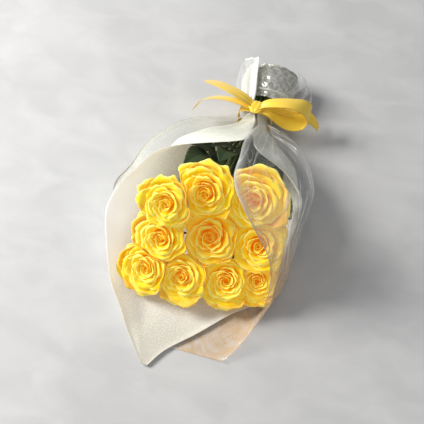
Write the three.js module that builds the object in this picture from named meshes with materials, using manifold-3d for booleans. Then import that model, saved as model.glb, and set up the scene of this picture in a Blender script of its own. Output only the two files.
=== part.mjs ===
// A bunch of ten yellow roses, lying on its back. The stems are bound together, their cut ends stand in a
// wet pad in a foil pouch, and a cream paper sheet and a clear film sheet are gathered round them and tied
// with a ribbon. Millimetres, +Z up. The flowers point to -Y and upwards, the cut ends to +Y.
// Everything is placed from the tie, the point on the stems' axis where the bunch is bound. At the end the
// whole bunch is moved so that the origin lies on the surface under the middle of its outline.
import * as THREE from "three";
import { mergeVertices } from "three/addons/utils/BufferGeometryUtils.js";
import Module from "manifold-3d";

const wasm = await Module();
wasm.setup();

// Driving dimensions.
const TIE_HEIGHT = 25; // the stems' axis at the tie, above the surface
const CLEARANCE = 0.4; // between pieces that touch
const STEM_RADIUS = 2.2;
const STEM_PITCH = 5.8; // between stems where they are bound
const ROW_PITCH = 5.8;
const CUT_END = 68; // from the tie to the cut ends
const PETAL_THICKNESS = 0.9;
const BLADE_THICKNESS = 0.8; // sepals and leaflets
const PAPER_THICKNESS = 0.8;
const FILM_THICKNESS = 0.8;
const RIBBON_THICKNESS = 0.8;
const RIBBON_WIDTH = 24;

const COLOURS = {
  petals: { color: 0xf2c41c, roughness: 0.6, metalness: 0 },
  leaves: { color: 0x2f4a26, roughness: 0.5, metalness: 0 },
  rubber: { color: 0xb08a52, roughness: 0.7, metalness: 0 },
  pad: { color: 0xc9ccc0, roughness: 0.9, metalness: 0 },
  foil: { color: 0xb9bcba, roughness: 0.3, metalness: 0.8 },
  paper: { color: 0xefe8d2, roughness: 0.8, metalness: 0 },
  film: { color: 0xe8ecec, roughness: 0.1, metalness: 0, transparent: true, opacity: 0.3 },
  ribbon: { color: 0xefc02a, roughness: 0.35, metalness: 0 },
};

// The ten roses. face is the middle of the open flower, measured from the tie; lean is how far its axis
// points to the right of straight ahead and rise how far it points up from level, both in degrees.
const ROSES = [
  { face: [-51, -199, 84], lean: -5, rise: 40, radius: 26, seed: 11 },
  { face: [-13, -177, 89], lean: -2, rise: 40, radius: 29.5, seed: 12 },
  { face: [39, -168, 82], lean: 2, rise: 44, radius: 32, seed: 13 },
  { face: [-54, -221, 44], lean: -10, rise: 44, radius: 29, seed: 14 },
  { face: [0, -205, 49], lean: 0, rise: 50, radius: 31, seed: 15 },
  { face: [54, -199, 46], lean: 4, rise: 54, radius: 30, seed: 16 },
  { face: [-64, -247, 16], lean: -13, rise: 42, radius: 27.5, seed: 17 },
  { face: [-20, -246.5, 15], lean: -4, rise: 48, radius: 25.5, seed: 18 },
  { face: [28, -235, 15], lean: 2, rise: 52, radius: 27, seed: 19 },
  { face: [62, -224, 13], lean: 8, rise: 54, radius: 24.5, seed: 20 },
];
const SIDE_ROOM = 82; // the flowers keep this near the middle, clear of the film at their right

// Rows of the bound stems, in the same order as the roses: upper, middle and lower.
const STEM_ROWS = [
  { level: 1, across: [-1, 0, 1] },
  { level: 0, across: [-1, 0, 1] },
  { level: -1, across: [-1.5, -0.5, 0.5, 1.5] },
];

// Small helpers.
const rad = THREE.MathUtils.degToRad;
const vec = (x, y, z) => new THREE.Vector3(x, y, z);
const smooth = (t) => t * t * (3 - 2 * t);

// A repeatable random draw between 0 and 1.
function seeded(seed) {
  let state = seed >>> 0;
  return () => {
    state = (Math.imul(state, 1664525) + 1013904223) >>> 0;
    return state / 4294967296;
  };
}

function lerpTable(table, s, column) {
  if (s <= table[0][0]) return table[0][column];
  for (let i = 1; i < table.length; i++) {
    const [before, after] = [table[i - 1], table[i]];
    if (s <= after[0]) {
      const t = (s - before[0]) / (after[0] - before[0]);
      return before[column] + t * (after[column] - before[column]);
    }
  }
  return table[table.length - 1][column];
}

// A closed geometry from points and faces. Faces with two corners at one place are dropped.
function closedGeometry(points, faces) {
  const raw = new THREE.BufferGeometry();
  const places = points.flatMap((p) => [p.x, p.y, p.z]);
  raw.setAttribute("position", new THREE.Float32BufferAttribute(places, 3));
  raw.setIndex(faces.flat());
  const merged = mergeVertices(raw, 1e-3);
  const index = [...merged.index.array];
  const kept = [];
  for (let i = 0; i < index.length; i += 3) {
    const [a, b, c] = index.slice(i, i + 3);
    if (a !== b && b !== c && c !== a) kept.push(a, b, c);
  }
  merged.setIndex(kept);
  return merged;
}

// The normals of a grid of points, grid[i][j], as the mean of its neighbours' directions.
function gridNormals(grid, loops) {
  const [rows, columns] = [grid.length, grid[0].length];
  const at = (i, j) => grid[Math.min(rows - 1, Math.max(0, i))][
    loops ? (j + columns) % columns : Math.min(columns - 1, Math.max(0, j))];
  return grid.map((row, i) => row.map((_, j) => {
    const along = at(i + 1, j).clone().sub(at(i - 1, j));
    const across = at(i, j + 1).clone().sub(at(i, j - 1));
    return across.cross(along).normalize();
  }));
}

// A thin sheet of even thickness about a grid of points. Both faces are split into triangles alike.
function sheetFrom(grid, thickness, { loops = false } = {}) {
  const normals = gridNormals(grid, loops);
  const [rows, columns] = [grid.length, grid[0].length];
  const points = [];
  for (const side of [0.5, -0.5])
    grid.forEach((row, i) => row.forEach((p, j) =>
      points.push(p.clone().addScaledVector(normals[i][j], side * thickness))));
  const id = (side, i, j) => side * rows * columns + i * columns + (j % columns);
  const faces = [];
  const quad = (a, b, c, d) => faces.push([a, b, c], [a, c, d]);
  const last = loops ? columns : columns - 1;
  for (let i = 0; i + 1 < rows; i++)
    for (let j = 0; j < last; j++) {
      quad(id(0, i, j), id(0, i, j + 1), id(0, i + 1, j + 1), id(0, i + 1, j));
      faces.push([id(1, i, j), id(1, i + 1, j + 1), id(1, i, j + 1)]);
      faces.push([id(1, i, j), id(1, i + 1, j), id(1, i + 1, j + 1)]);
    }
  for (let j = 0; j < last; j++) {
    quad(id(1, 0, j), id(1, 0, j + 1), id(0, 0, j + 1), id(0, 0, j));
    quad(id(0, rows - 1, j), id(0, rows - 1, j + 1), id(1, rows - 1, j + 1), id(1, rows - 1, j));
  }
  if (!loops)
    for (let i = 0; i + 1 < rows; i++) {
      quad(id(0, i, 0), id(0, i + 1, 0), id(1, i + 1, 0), id(1, i, 0));
      quad(id(1, i, last), id(1, i + 1, last), id(0, i + 1, last), id(0, i, last));
    }
  return closedGeometry(points, faces);
}

function pointsOf(geometry) {
  const position = geometry.getAttribute("position");
  return [...Array(position.count).keys()].map((i) => vec(0, 0, 0).fromBufferAttribute(position, i));
}

// A round bar along a curve, as a closed tube with a radius for each of its rings.
function barAlong(curve, radii, sides) {
  const steps = radii.length - 1;
  const frames = curve.computeFrenetFrames(steps, false);
  const points = [];
  radii.forEach((radius, i) => {
    const centre = curve.getPointAt(i / steps);
    for (let k = 0; k < sides; k++) {
      const turn = (2 * Math.PI * k) / sides;
      points.push(centre.clone()
        .addScaledVector(frames.normals[i], radius * Math.cos(turn))
        .addScaledVector(frames.binormals[i], radius * Math.sin(turn)));
    }
  });
  const faces = [];
  for (let i = 0; i < steps; i++)
    for (let k = 0; k < sides; k++) {
      const [a, b] = [i * sides + k, i * sides + ((k + 1) % sides)];
      faces.push([a, b, b + sides], [a, b + sides, a + sides]);
    }
  for (let k = 1; k + 1 < sides; k++) {
    faces.push([0, k + 1, k]);
    faces.push([steps * sides, steps * sides + k, steps * sides + k + 1]);
  }
  return closedGeometry(points, faces);
}

// A turned solid round the Z axis from a profile of [radius, height] pairs.
function turned(profile, sides) {
  const raw = new THREE.LatheGeometry(profile.map(([r, z]) => new THREE.Vector2(r, z)), sides);
  raw.rotateX(Math.PI / 2);
  raw.deleteAttribute("normal");
  raw.deleteAttribute("uv");
  const points = pointsOf(raw);
  const faces = [];
  for (let i = 0; i < raw.index.count; i += 3)
    faces.push([raw.index.getX(i), raw.index.getX(i + 1), raw.index.getX(i + 2)]);
  return closedGeometry(points, faces);
}

function solid(geometry) {
  const made = new wasm.Manifold(new wasm.Mesh({
    numProp: 3,
    vertProperties: geometry.getAttribute("position").array,
    triVerts: new Uint32Array(geometry.index.array),
  }));
  return made.volume() < 0 ? solid(insideOut(geometry)) : made;
}

function insideOut(geometry) {
  const turnedRound = geometry.clone();
  const index = [...geometry.index.array];
  for (let i = 0; i < index.length; i += 3) [index[i + 1], index[i + 2]] = [index[i + 2], index[i + 1]];
  turnedRound.setIndex(index);
  return turnedRound;
}

// Joins solids and keeps the outer skin of the largest body, so sealed hollows are filled and loose scraps
// left out.
function joined(solids) {
  const largest = (all) => all.decompose().sort((a, b) => b.volume() - a.volume())[0];
  const skin = largest(largest(wasm.Manifold.union(solids)).simplify(0.2));
  return largest(solid(geometryOf(skin)));
}

function geometryOf(manifold) {
  const mesh = manifold.getMesh();
  const geometry = new THREE.BufferGeometry();
  const points = new Float32Array(mesh.numVert * 3);
  for (let i = 0; i < mesh.numVert; i++)
    points.set(mesh.vertProperties.subarray(i * mesh.numProp, i * mesh.numProp + 3), i * 3);
  geometry.setAttribute("position", new THREE.BufferAttribute(points, 3));
  geometry.setIndex(new THREE.BufferAttribute(mesh.triVerts, 1));
  return geometry;
}

const bunch = new THREE.Group();

function addPiece(name, geometry, look) {
  const mesh = new THREE.Mesh(geometry, new THREE.MeshStandardMaterial(COLOURS[look]));
  mesh.name = name;
  bunch.add(mesh);
}

// ---- Flowers ----

// The petals in their layers, for a flower of 28 mm radius. lean is the angle of a petal's length to the
// flower's axis at its foot, its middle and its rim, in degrees; a rim over 90 curls back.
const FLOWER_RADIUS = 28;
const LAYERS = [
  { petals: 5, turn: 0, begin: 0.1, length: 42, half: 17.5, lean: [63, 20, 116], bend: 1,
    tip: 2.6, curl: 20, cells: [2, 2] },
  { petals: 4, turn: 30, begin: 0.44, length: 38, half: 14.5, lean: [51, 4, 82], bend: 1.08,
    tip: 1.4, curl: 14, cells: [2, 1] },
  { petals: 3, turn: 20, begin: 0.6, length: 34, half: 8.5, lean: [34, -4, 24], bend: 1.15,
    tip: 0.6, curl: 4, cells: [2, 1] },
];
const FOOT = { radius: 4.5, height: 3 };
const TUCK = 1.6; // one edge of a petal lies this far out and the other this far in, so neighbours overlap
const HEART = [[0, 2], [8, 2.5], [16.5, 12], [15.5, 21], [6, 26.5], [0, 32]];
const FACE_HEIGHT = 36; // from the flower's foot to the middle of its open face
const MIDDLE_HEIGHT = 20; // from the foot to the widest part
const PRESS_ZONE = 5; // how far from a neighbour a petal starts to give way

// One point of a petal: across runs from -1 to 1 over its width, up from 0 at its foot to 1 at its rim.
function petalPoint(petal, across, up) {
  const side = Math.abs(across);
  const reach = up * (1 - petal.rounding * side ** 3) * petal.length
    + petal.tip * Math.exp(-((across / 0.22) ** 2)) * up ** 4;
  const steps = 16;
  let radius = FOOT.radius;
  let height = FOOT.height;
  let angle = petal.lean[0];
  for (let i = 0; i < steps; i++) {
    const t = ((i + 0.5) / steps) * (reach / petal.length);
    const rim = Math.max(0, t - 0.5) / 0.5;
    angle = t < 0.5
      ? petal.lean[0] + (petal.lean[1] - petal.lean[0]) * smooth(t / 0.5)
      : petal.lean[1] + (petal.lean[2] + petal.curl * side * side - petal.lean[1]) * rim * rim;
    radius += (Math.sin(rad(angle)) * reach) / steps;
    height += (Math.cos(rad(angle)) * reach) / steps;
  }
  const half = petal.half * (0.16 + 0.84 * Math.sin((Math.min(up / 0.7, 1) * Math.PI) / 2));
  const round = Math.max(radius, 3) / petal.bend;
  const swing = (across * half) / round;
  const tuck = TUCK * across;
  const out = radius - round * (1 - Math.cos(swing)) + tuck * Math.cos(rad(angle));
  const wave = petal.wave * Math.sin(5 * across + petal.phase) * up ** 3;
  const sideways = round * Math.sin(swing);
  return vec(
    out * Math.cos(petal.turn) - sideways * Math.sin(petal.turn),
    out * Math.sin(petal.turn) + sideways * Math.cos(petal.turn),
    height + wave - tuck * Math.sin(rad(angle)),
  );
}

function petalsOf(rose) {
  const draw = seeded(rose.seed);
  const scale = rose.radius / FLOWER_RADIUS;
  const petals = [];
  const start = draw() * 360;
  for (const layer of LAYERS)
    for (let k = 0; k < layer.petals; k++) {
      const spread = 360 / layer.petals;
      petals.push({
        ...layer,
        scale,
        turn: rad(start + layer.turn + k * spread + (draw() - 0.5) * 0.12 * spread),
        length: layer.length * (1 + (draw() - 0.5) * 0.08),
        lean: layer.lean.map((angle, i) => angle + (draw() - 0.5) * [1, 1, 6][i]),
        tip: layer.tip * (0.5 + draw()),
        wave: 0.5 * (draw() + 0.3),
        phase: draw() * 6,
        rounding: 0.24,
      });
    }
  return petals;
}

// The flower's own axes at its foot.
function roseFrame(rose) {
  const [lean, rise] = [rad(rose.lean), rad(rose.rise)];
  const axis = vec(Math.sin(lean) * Math.cos(rise), -Math.cos(lean) * Math.cos(rise), Math.sin(rise));
  const across = vec(0, 0, 1).cross(axis).normalize();
  const other = axis.clone().cross(across);
  const scale = rose.radius / FLOWER_RADIUS;
  const face = vec(rose.face[0], rose.face[1], rose.face[2] + TIE_HEIGHT);
  const foot = face.clone().addScaledVector(axis, -FACE_HEIGHT * scale);
  const middle = foot.clone().addScaledVector(axis, MIDDLE_HEIGHT * scale);
  const place = new THREE.Matrix4().makeBasis(across, other, axis);
  place.scale(vec(scale, scale, scale)).setPosition(foot);
  return { axis, across, other, scale, foot, middle, place };
}

const frames = ROSES.map(roseFrame);

// The planes that a flower keeps behind: one half way to each near neighbour, the paper under it and the film
// beside it.
function planesOf(index) {
  const own = frames[index].middle;
  const planes = [];
  ROSES.forEach((other, k) => {
    if (k === index) return;
    const away = frames[k].middle.clone().sub(own);
    const distance = away.length();
    if (distance > ROSES[index].radius + other.radius + 8) return;
    const share = (distance ** 2 + ROSES[index].radius ** 2 - other.radius ** 2) / (2 * distance);
    planes.push({ normal: away.normalize(), limit: share - CLEARANCE / 2 });
  });
  const floor = FILM_THICKNESS + PAPER_THICKNESS + 5 * CLEARANCE;
  planes.push({ normal: vec(0, 0, -1), limit: own.z - floor - CLEARANCE / 2 });
  planes.push({ normal: vec(1, 0, 0), limit: SIDE_ROOM - own.x });
  const margin = PETAL_THICKNESS / 2 + CLEARANCE / 2;
  return planes.map(({ normal, limit }) => ({ normal, from: own, limit: limit - margin }));
}

// A petal gives way where it nears a plane, and never passes it.
function pressed(point, planes) {
  for (let pass = 0; pass < 3; pass++)
    for (const { normal, from, limit } of planes) {
      const reach = point.clone().sub(from).dot(normal);
      const start = limit - PRESS_ZONE;
      if (reach <= start) continue;
      const kept = start + PRESS_ZONE * (1 - Math.exp(-(reach - start) / PRESS_ZONE));
      point.addScaledVector(normal, (pass ? Math.min(reach, limit) : kept) - reach);
    }
  return point;
}

function bloom(index) {
  const { place } = frames[index];
  const planes = planesOf(index);
  const parts = petalsOf(ROSES[index]).map((petal) => {
    const [wide, long] = petal.cells;
    const grid = [];
    for (let i = 0; i <= long; i++) {
      const row = [];
      for (let j = 0; j <= wide; j++) {
        const point = petalPoint(petal, (2 * j) / wide - 1, petal.begin + (1 - petal.begin) * (i / long));
        row.push(pressed(point.applyMatrix4(place), planes));
      }
      grid.push(row);
    }
    return solid(sheetFrom(grid, PETAL_THICKNESS));
  });
  const heart = turned(HEART, 7).applyMatrix4(place);
  return joined([solid(heart), ...parts]);
}

const roseName = (index) => `rose_${String(index + 1).padStart(2, "0")}`;

ROSES.forEach((_, i) => addPiece(`${roseName(i)}_bloom`, geometryOf(bloom(i)), "petals"));

// ---- Stems with their sepals and leaves ----

// A leaf grows from the stem at a share of its length beyond the tie, and its end leaflet's tip is at tip,
// measured from the tie. pairs counts the leaflets on each side below the end one, and size is the end
// leaflet's length.
const LEAVES = [
  { stem: 0, at: 0.34, tip: [-54, -118, 50], pairs: 1, size: 39 },
  { stem: 1, at: 0.3, tip: [-14, -110, 63], pairs: 1, size: 36 },
  { stem: 2, at: 0.3, tip: [32, -112, 54], pairs: 1, size: 34 },
  { stem: 5, at: 0.28, tip: [56, -100, 34], pairs: 0, size: 30 },
  { stem: 3, at: 0.4, tip: [-28, -149, 47], pairs: 0, size: 31 },
  { stem: 5, at: 0.5, tip: [78, -142, 28], pairs: 0, size: 40 },
];
const LEAFLET_WIDTH = 0.7; // of its length
const TEETH = 3;
const STEM_SAG = 0.72; // share of a stem's rise that comes before its neck
const NECK_FROM = 0.78; // where the neck starts to bend up to the flower
const NECK_BEND = 12;
const BAND_WIDTH = 6;
const CALYX = [[0, -9], [3, -9], [5.8, -2], [5.4, 1.5], [0, 1.5]];
const SEPAL = { count: 5, length: 21, width: 7, lean: [74, 104, 150] };

const bound = STEM_ROWS.flatMap(
  ({ level, across }) => across.map((k) => [k * STEM_PITCH, level * ROW_PITCH]),
);

function stemCurve(index) {
  const [x, z] = bound[index];
  const { foot, axis, scale } = frames[index];
  const top = foot.clone().addScaledVector(axis, -8 * scale);
  const tie = vec(x, -BAND_WIDTH - 2, z + TIE_HEIGHT);
  const span = tie.distanceTo(top);
  const outward = vec(top.x - x, top.y - tie.y, (top.z - tie.z) * STEM_SAG).normalize();
  const path = new THREE.CurvePath();
  path.add(new THREE.LineCurve3(vec(x, CUT_END, z + TIE_HEIGHT), tie));
  const from = tie.clone().addScaledVector(outward, span * NECK_FROM);
  path.add(new THREE.CubicBezierCurve3(
    tie, vec(x, tie.y - 20, z + TIE_HEIGHT), tie.clone().addScaledVector(outward, span * 0.4), from,
  ));
  path.add(new THREE.CubicBezierCurve3(
    from, from.clone().addScaledVector(outward, span * 0.12),
    top.clone().addScaledVector(axis, -NECK_BEND), top,
  ));
  return path;
}

function sepals(index) {
  const { scale, place } = frames[index];
  const planes = planesOf(index);
  const draw = seeded(ROSES[index].seed + 60);
  return [...Array(SEPAL.count).keys()].map((k) => {
    const turn = rad((360 / SEPAL.count) * (k + 0.3 * draw()));
    const long = SEPAL.length * (0.8 + 0.4 * draw());
    const grid = [0, 1, 2].map((i) => {
      const t = i / 2;
      let [radius, height] = [3.6, -1.5];
      for (let n = 0; n < 8; n++) {
        const f = (t * (n + 0.5)) / 8;
        const angle = rad(lerpTable([[0, SEPAL.lean[0]], [0.5, SEPAL.lean[1]], [1, SEPAL.lean[2]]], f, 1));
        radius += (Math.sin(angle) * long * t) / 8;
        height += (Math.cos(angle) * long * t) / 8;
      }
      const half = (SEPAL.width / 2) * (1 - t ** 2) + 0.3;
      return [-1, 1].map((side) => pressed(vec(
        radius * Math.cos(turn) - side * half * Math.sin(turn),
        radius * Math.sin(turn) + side * half * Math.cos(turn),
        height,
      ).applyMatrix4(place), planes));
    });
    return solid(sheetFrom(grid, BLADE_THICKNESS * Math.min(1, scale * 1.1)));
  });
}

// A leaflet from its base to its tip, with a toothed edge, folded a little along its rib.
function leaflet(base, tip, facing) {
  const along = tip.clone().sub(base);
  const long = along.length();
  along.normalize();
  const across = along.clone().cross(facing).normalize();
  const up = across.clone().cross(along);
  const rows = 2 * TEETH + 1;
  const grid = [];
  for (let i = 0; i <= rows; i++) {
    const t = i / rows;
    const tooth = i % 2 ? 1 : 0.82;
    const swell = Math.sin(Math.PI * Math.min(0.97, 0.08 + t ** 0.85)) ** 0.8;
    const half = (LEAFLET_WIDTH / 2) * long * swell * tooth + 0.5;
    const sag = 0.09 * long * Math.sin(Math.PI * t) - 0.1 * long * t * t;
    grid.push([-1, 0, 1].map((side) => base.clone()
      .addScaledVector(along, long * t)
      .addScaledVector(across, side * half)
      .addScaledVector(up, sag + Math.abs(side) * 0.22 * half)));
  }
  return solid(sheetFrom(grid, BLADE_THICKNESS));
}

function leafOn({ stem, at, tip, pairs, size }) {
  const curve = stemCurve(stem);
  const root = curve.getPointAt((CUT_END + at * 200) / curve.getLength());
  const end = vec(tip[0], tip[1], tip[2] + TIE_HEIGHT);
  const along = end.clone().sub(root).normalize();
  const side = along.clone().cross(vec(0, 0, 1)).normalize();
  const facing = side.clone().cross(along).normalize();
  const neck = end.clone().addScaledVector(along, -size);
  const stalk = new THREE.QuadraticBezierCurve3(
    root, root.clone().lerp(neck, 0.5).addScaledVector(facing, 2), neck.clone().addScaledVector(along, 1.5),
  );
  const parts = [solid(barAlong(stalk, [1.1, 1, 1, 0.9], 5)), leaflet(neck, end, facing)];
  for (let k = 0; k < pairs; k++)
    for (const way of [-1, 1]) {
      const base = stalk.getPoint(0.7 - 0.3 * k);
      const out = along.clone().multiplyScalar(0.7).addScaledVector(side, way).normalize();
      parts.push(leaflet(base, base.clone().addScaledVector(out, size * 0.82), facing));
    }
  return parts;
}

function stemWithLeaves(index) {
  const { place } = frames[index];
  const curve = stemCurve(index);
  const bar = solid(barAlong(curve, Array(10).fill(STEM_RADIUS), 5));
  const calyx = solid(turned(CALYX, 6).applyMatrix4(place));
  const leaves = LEAVES.filter(({ stem }) => stem === index).flatMap(leafOn);
  return joined([bar, calyx, ...sepals(index), ...leaves]);
}

ROSES.forEach((_, i) => addPiece(`${roseName(i)}_stem`, geometryOf(stemWithLeaves(i)), "leaves"));

// ---- The band, the wet pad and its pouch ----

const BAND_THICKNESS = 1.2;
const PAD = { from: 34, to: 75, wide: 31, high: 17.5, right: 7 };
const HOLE_DEPTH_BEYOND = 0.8;
const SLEEVE_SIDES = 12;
const POUCH = { from: 28, to: 80, wall: 1 };

// The outline round the bound stems, this far out from their centres: an arc round each corner stem.
function bundleOutline(offset) {
  const corners = [[bound[9], -90], [bound[2], 0], [bound[0], 90], [bound[6], 180]];
  return corners.flatMap(([[x, z], start]) => [0, 30, 60, 90].map((turn) => {
    const angle = rad(start + turn);
    return [x + offset * Math.cos(angle), z + TIE_HEIGHT + offset * Math.sin(angle)];
  }));
}

function stemBand() {
  const outline = bundleOutline(STEM_RADIUS + 0.8 + BAND_THICKNESS / 2);
  const grid = [-0.5, 0.5].map((side) => outline.map(([x, z]) => vec(x, side * BAND_WIDTH, z)));
  return sheetFrom(grid, BAND_THICKNESS, { loops: true });
}

// An upright turned solid laid along Y at the tie's height, squashed to an oval and set right of the stems.
function laidOval(profile, sides, wide, high) {
  const geometry = turned(profile, sides);
  geometry.rotateX(-Math.PI / 2);
  geometry.scale(wide, 1, high);
  geometry.translate(PAD.right, 0, TIE_HEIGHT);
  return solid(geometry);
}

function wetPad() {
  const { from, to, wide, high } = PAD;
  const profile = [[0, from], [0.72, from], [1, from + 14], [1, to - 8], [0.75, to - 2], [0, to]];
  const body = laidOval(profile, SLEEVE_SIDES, wide, high);
  const holeEnd = CUT_END + HOLE_DEPTH_BEYOND;
  const holes = bound.map(([x, z]) => solid(barAlong(
    new THREE.LineCurve3(vec(x, from - 5, z + TIE_HEIGHT), vec(x, holeEnd, z + TIE_HEIGHT)),
    [STEM_RADIUS + 0.35, STEM_RADIUS + 0.35], 8)));
  return geometryOf(body.subtract(wasm.Manifold.union(holes)));
}

function foilPouch() {
  const { from, to, wall } = POUCH;
  const gap = 0.4;
  const [w, h] = [PAD.wide + gap + wall, PAD.high + gap + wall];
  const outer = [
    [0, from], [0.76, from], [0.82, from + 6], [1, PAD.from + 14], [1, PAD.to - 7], [0.78, to - 2], [0, to],
  ];
  const inner = outer.map(([r, y], i) => [r, i < 2 ? from - 1 : y - (i > 4 ? wall * 1.6 : 0)]);
  const bag = laidOval(outer, SLEEVE_SIDES, w, h);
  return geometryOf(bag.subtract(laidOval(inner, SLEEVE_SIDES, w - wall, h - wall)));
}

addPiece("stem_band", stemBand(), "rubber");
addPiece("wet_pad", wetPad(), "pad");
addPiece("foil_pouch", foilPouch(), "foil");

// ---- The two wraps ----

// Each row gives a place along Y from the tie and the sheet's line there, as pairs of across and height
// above the surface, from its left edge, down, under the stems and up to its right edge.
const PAPER_ROWS = [
  [74, [-16, 46], [-26, 37], [-31, 20], [-22, 4], [6, 3], [28, 4], [38, 7]],
  [70, [-15, 46.5], [-26, 37], [-31, 20], [-22, 4], [6, 3], [28, 4], [40, 8]],
  [50, [-11, 46.5], [-26, 37], [-31, 22], [-21, 4], [6, 3], [28, 4], [40, 9]],
  [30, [-7, 44.5], [-21, 37], [-25, 22], [-17, 5.5], [4, 4.5], [22, 6], [34, 14]],
  [9, [-5, 38.5], [-15.5, 29], [-12.5, 13.5], [0, 12], [12.5, 13.5], [15.5, 29], [6, 38.5]],
  [-9, [2, 40], [-15.5, 29], [-12.5, 13.5], [0, 12], [12.5, 13.5], [15.5, 29], [3, 37.5]],
  [-40, [8, 62], [-34, 46], [-29, 14], [0, 5], [27, 11], [40, 34], [6, 57.5]],
  [-65, [10, 82.5], [-55, 61.5], [-42.5, 9.6], [0, 3.2], [42, 9.6], [62, 42], [12, 77]],
  [-82, [0, 89.5], [-77, 59.5], [-52.5, 8], [0, 2.6], [51, 8], [73, 42], [22, 81]],
  [-100, [-67, 79], [-93, 46.5], [-62, 6], [0, 2], [60, 6], [82, 36], [66, 66]],
  [-135, [-108, 66], [-99, 36], [-70, 4.6], [0, 2], [62, 4.4], [84, 28], [85, 50]],
  [-165, [-121, 62], [-103, 32], [-72, 4], [0, 2], [60, 3], [80, 16], [83, 36]],
  [-195, [-125, 55], [-104, 28], [-73, 3], [0, 2], [58, 2], [73, 2.8], [82, 10]],
  [-225, [-115, 43], [-99, 23], [-73, 3], [-4, 2], [50, 2], [66, 2.4], [74, 4.5]],
  [-257, [-101, 28], [-89, 13], [-67, 3], [-24, 2], [16, 2.2], [32, 3], [40, 5]],
  [-290, [-77, 14], [-69, 7], [-55, 2.6], [-36, 2], [-14, 2], [2, 2.4], [10, 4]],
  [-317, [-56.5, 6], [-52, 3.4], [-46, 2.6], [-38, 2.2], [-30, 2.2], [-22, 2.6], [-17, 3.6]],
  [-339, [-37.5, 3.6], [-36.5, 3.2], [-35.5, 2.8], [-34, 2.6], [-32.5, 2.6], [-31.5, 2.8], [-30.5, 3.2]],
];
const FILM_ROWS = [
  [80, [-17, 49], [-35, 37], [-27, 1.5], [2, 0.6], [22, 1], [38, 4], [48, 12], [46, 24], [36, 36]],
  [70, [-15, 50.5], [-37, 37], [-27, 1.5], [2, 0.5], [26, 0.8], [44, 5], [54, 15], [50, 32], [38, 45]],
  [50, [-11, 50.5], [-37, 37], [-26, 1.6], [2, 0.6], [26, 0.8], [48, 6], [61, 15], [55, 33], [40, 47]],
  [30, [-7, 48.5], [-31, 37], [-22, 2.5], [0, 1.5], [20, 2], [38, 8], [49, 20], [42, 36], [28, 47]],
  [9, [-6, 42.5], [-18.4, 32], [-14.5, 10.6], [0, 9], [14.5, 10.6], [18.8, 22], [18.4, 33], [13.5, 40],
    [6, 42.5]],
  [-9, [-6, 42.5], [-18.4, 32], [-14.5, 10.6], [0, 9], [14.5, 10.6], [18.8, 22], [18.4, 33], [13.5, 40],
    [6, 42.5]],
  [-40, [-50, 64], [-48, 42], [-34, 6], [0, 1.6], [34, 6], [54, 26], [60, 48], [40, 66], [12, 70]],
  [-65, [-80, 73], [-76, 44], [-52, 4.4], [0, 0.6], [50, 4.4], [74, 28], [81, 56], [56, 82], [10, 90]],
  [-82, [-92, 74], [-89, 44], [-60, 3], [0, 0.4], [58, 3], [83, 28], [88, 62], [62, 94], [10, 105]],
  [-100, [-104, 73], [-101, 44], [-68, 2], [0, 0.4], [66, 2], [90, 30], [94, 66], [72, 102], [10, 118]],
  [-135, [-115, 68], [-106, 36], [-76, 1], [0, 0.4], [70, 1], [92, 30], [96, 70], [84, 114], [14, 140]],
  [-165, [-125, 64], [-110, 32], [-78, 0.8], [0, 0.4], [70, 0.8], [90, 24], [95, 68], [88, 114], [16, 142]],
  [-195, [-116, 39], [-108, 26], [-78, 0.6], [0, 0.4], [74, 0.6], [90, 14], [94, 56], [86, 108], [34, 139]],
  [-225, [-108, 29], [-101, 18], [-76, 0.6], [0, 0.4], [70, 0.8], [85, 10], [90, 42], [88, 72], [72, 95]],
  [-257, [-89, 8.6], [-81, 4.6], [-62, 0.6], [-10, 0.4], [34, 0.4], [58, 2], [72, 11], [78, 26], [77, 46]],
  [-285, [-66, 2.4], [-60, 1], [-46, 0.4], [-16, 0.4], [14, 0.4], [38, 0.6], [53, 2], [62, 7], [65, 14]],
  [-311, [-44, 1], [-38, 0.6], [-30, 0.4], [-16, 0.4], [-2, 0.4], [12, 0.4], [26, 0.6], [40, 1.4], [48, 3]],
];
const PAPER_FLOOR = FILM_THICKNESS + CLEARANCE + PAPER_THICKNESS / 2;

// A sheet with a smooth line through each row's points, never lower than its floor.
function wrapThrough(rows, floor, across) {
  return rows.map(([y, ...points]) => {
    const line = new THREE.CatmullRomCurve3(points.map(([x, z]) => vec(x, y, z)), false, "centripetal");
    return line.getPoints(across).map((point) => point.setZ(Math.max(point.z, floor)));
  });
}

addPiece("paper_wrap", sheetFrom(wrapThrough(PAPER_ROWS, PAPER_FLOOR, 10), PAPER_THICKNESS), "paper");
addPiece("film_wrap", sheetFrom(wrapThrough(FILM_ROWS, FILM_THICKNESS / 2, 14), FILM_THICKNESS), "film");

// ---- The ribbon ----

const RIBBON_BAND = { wide: 21.8, low: 18, high: 20, along: 10, squareness: 0.7 };
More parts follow.
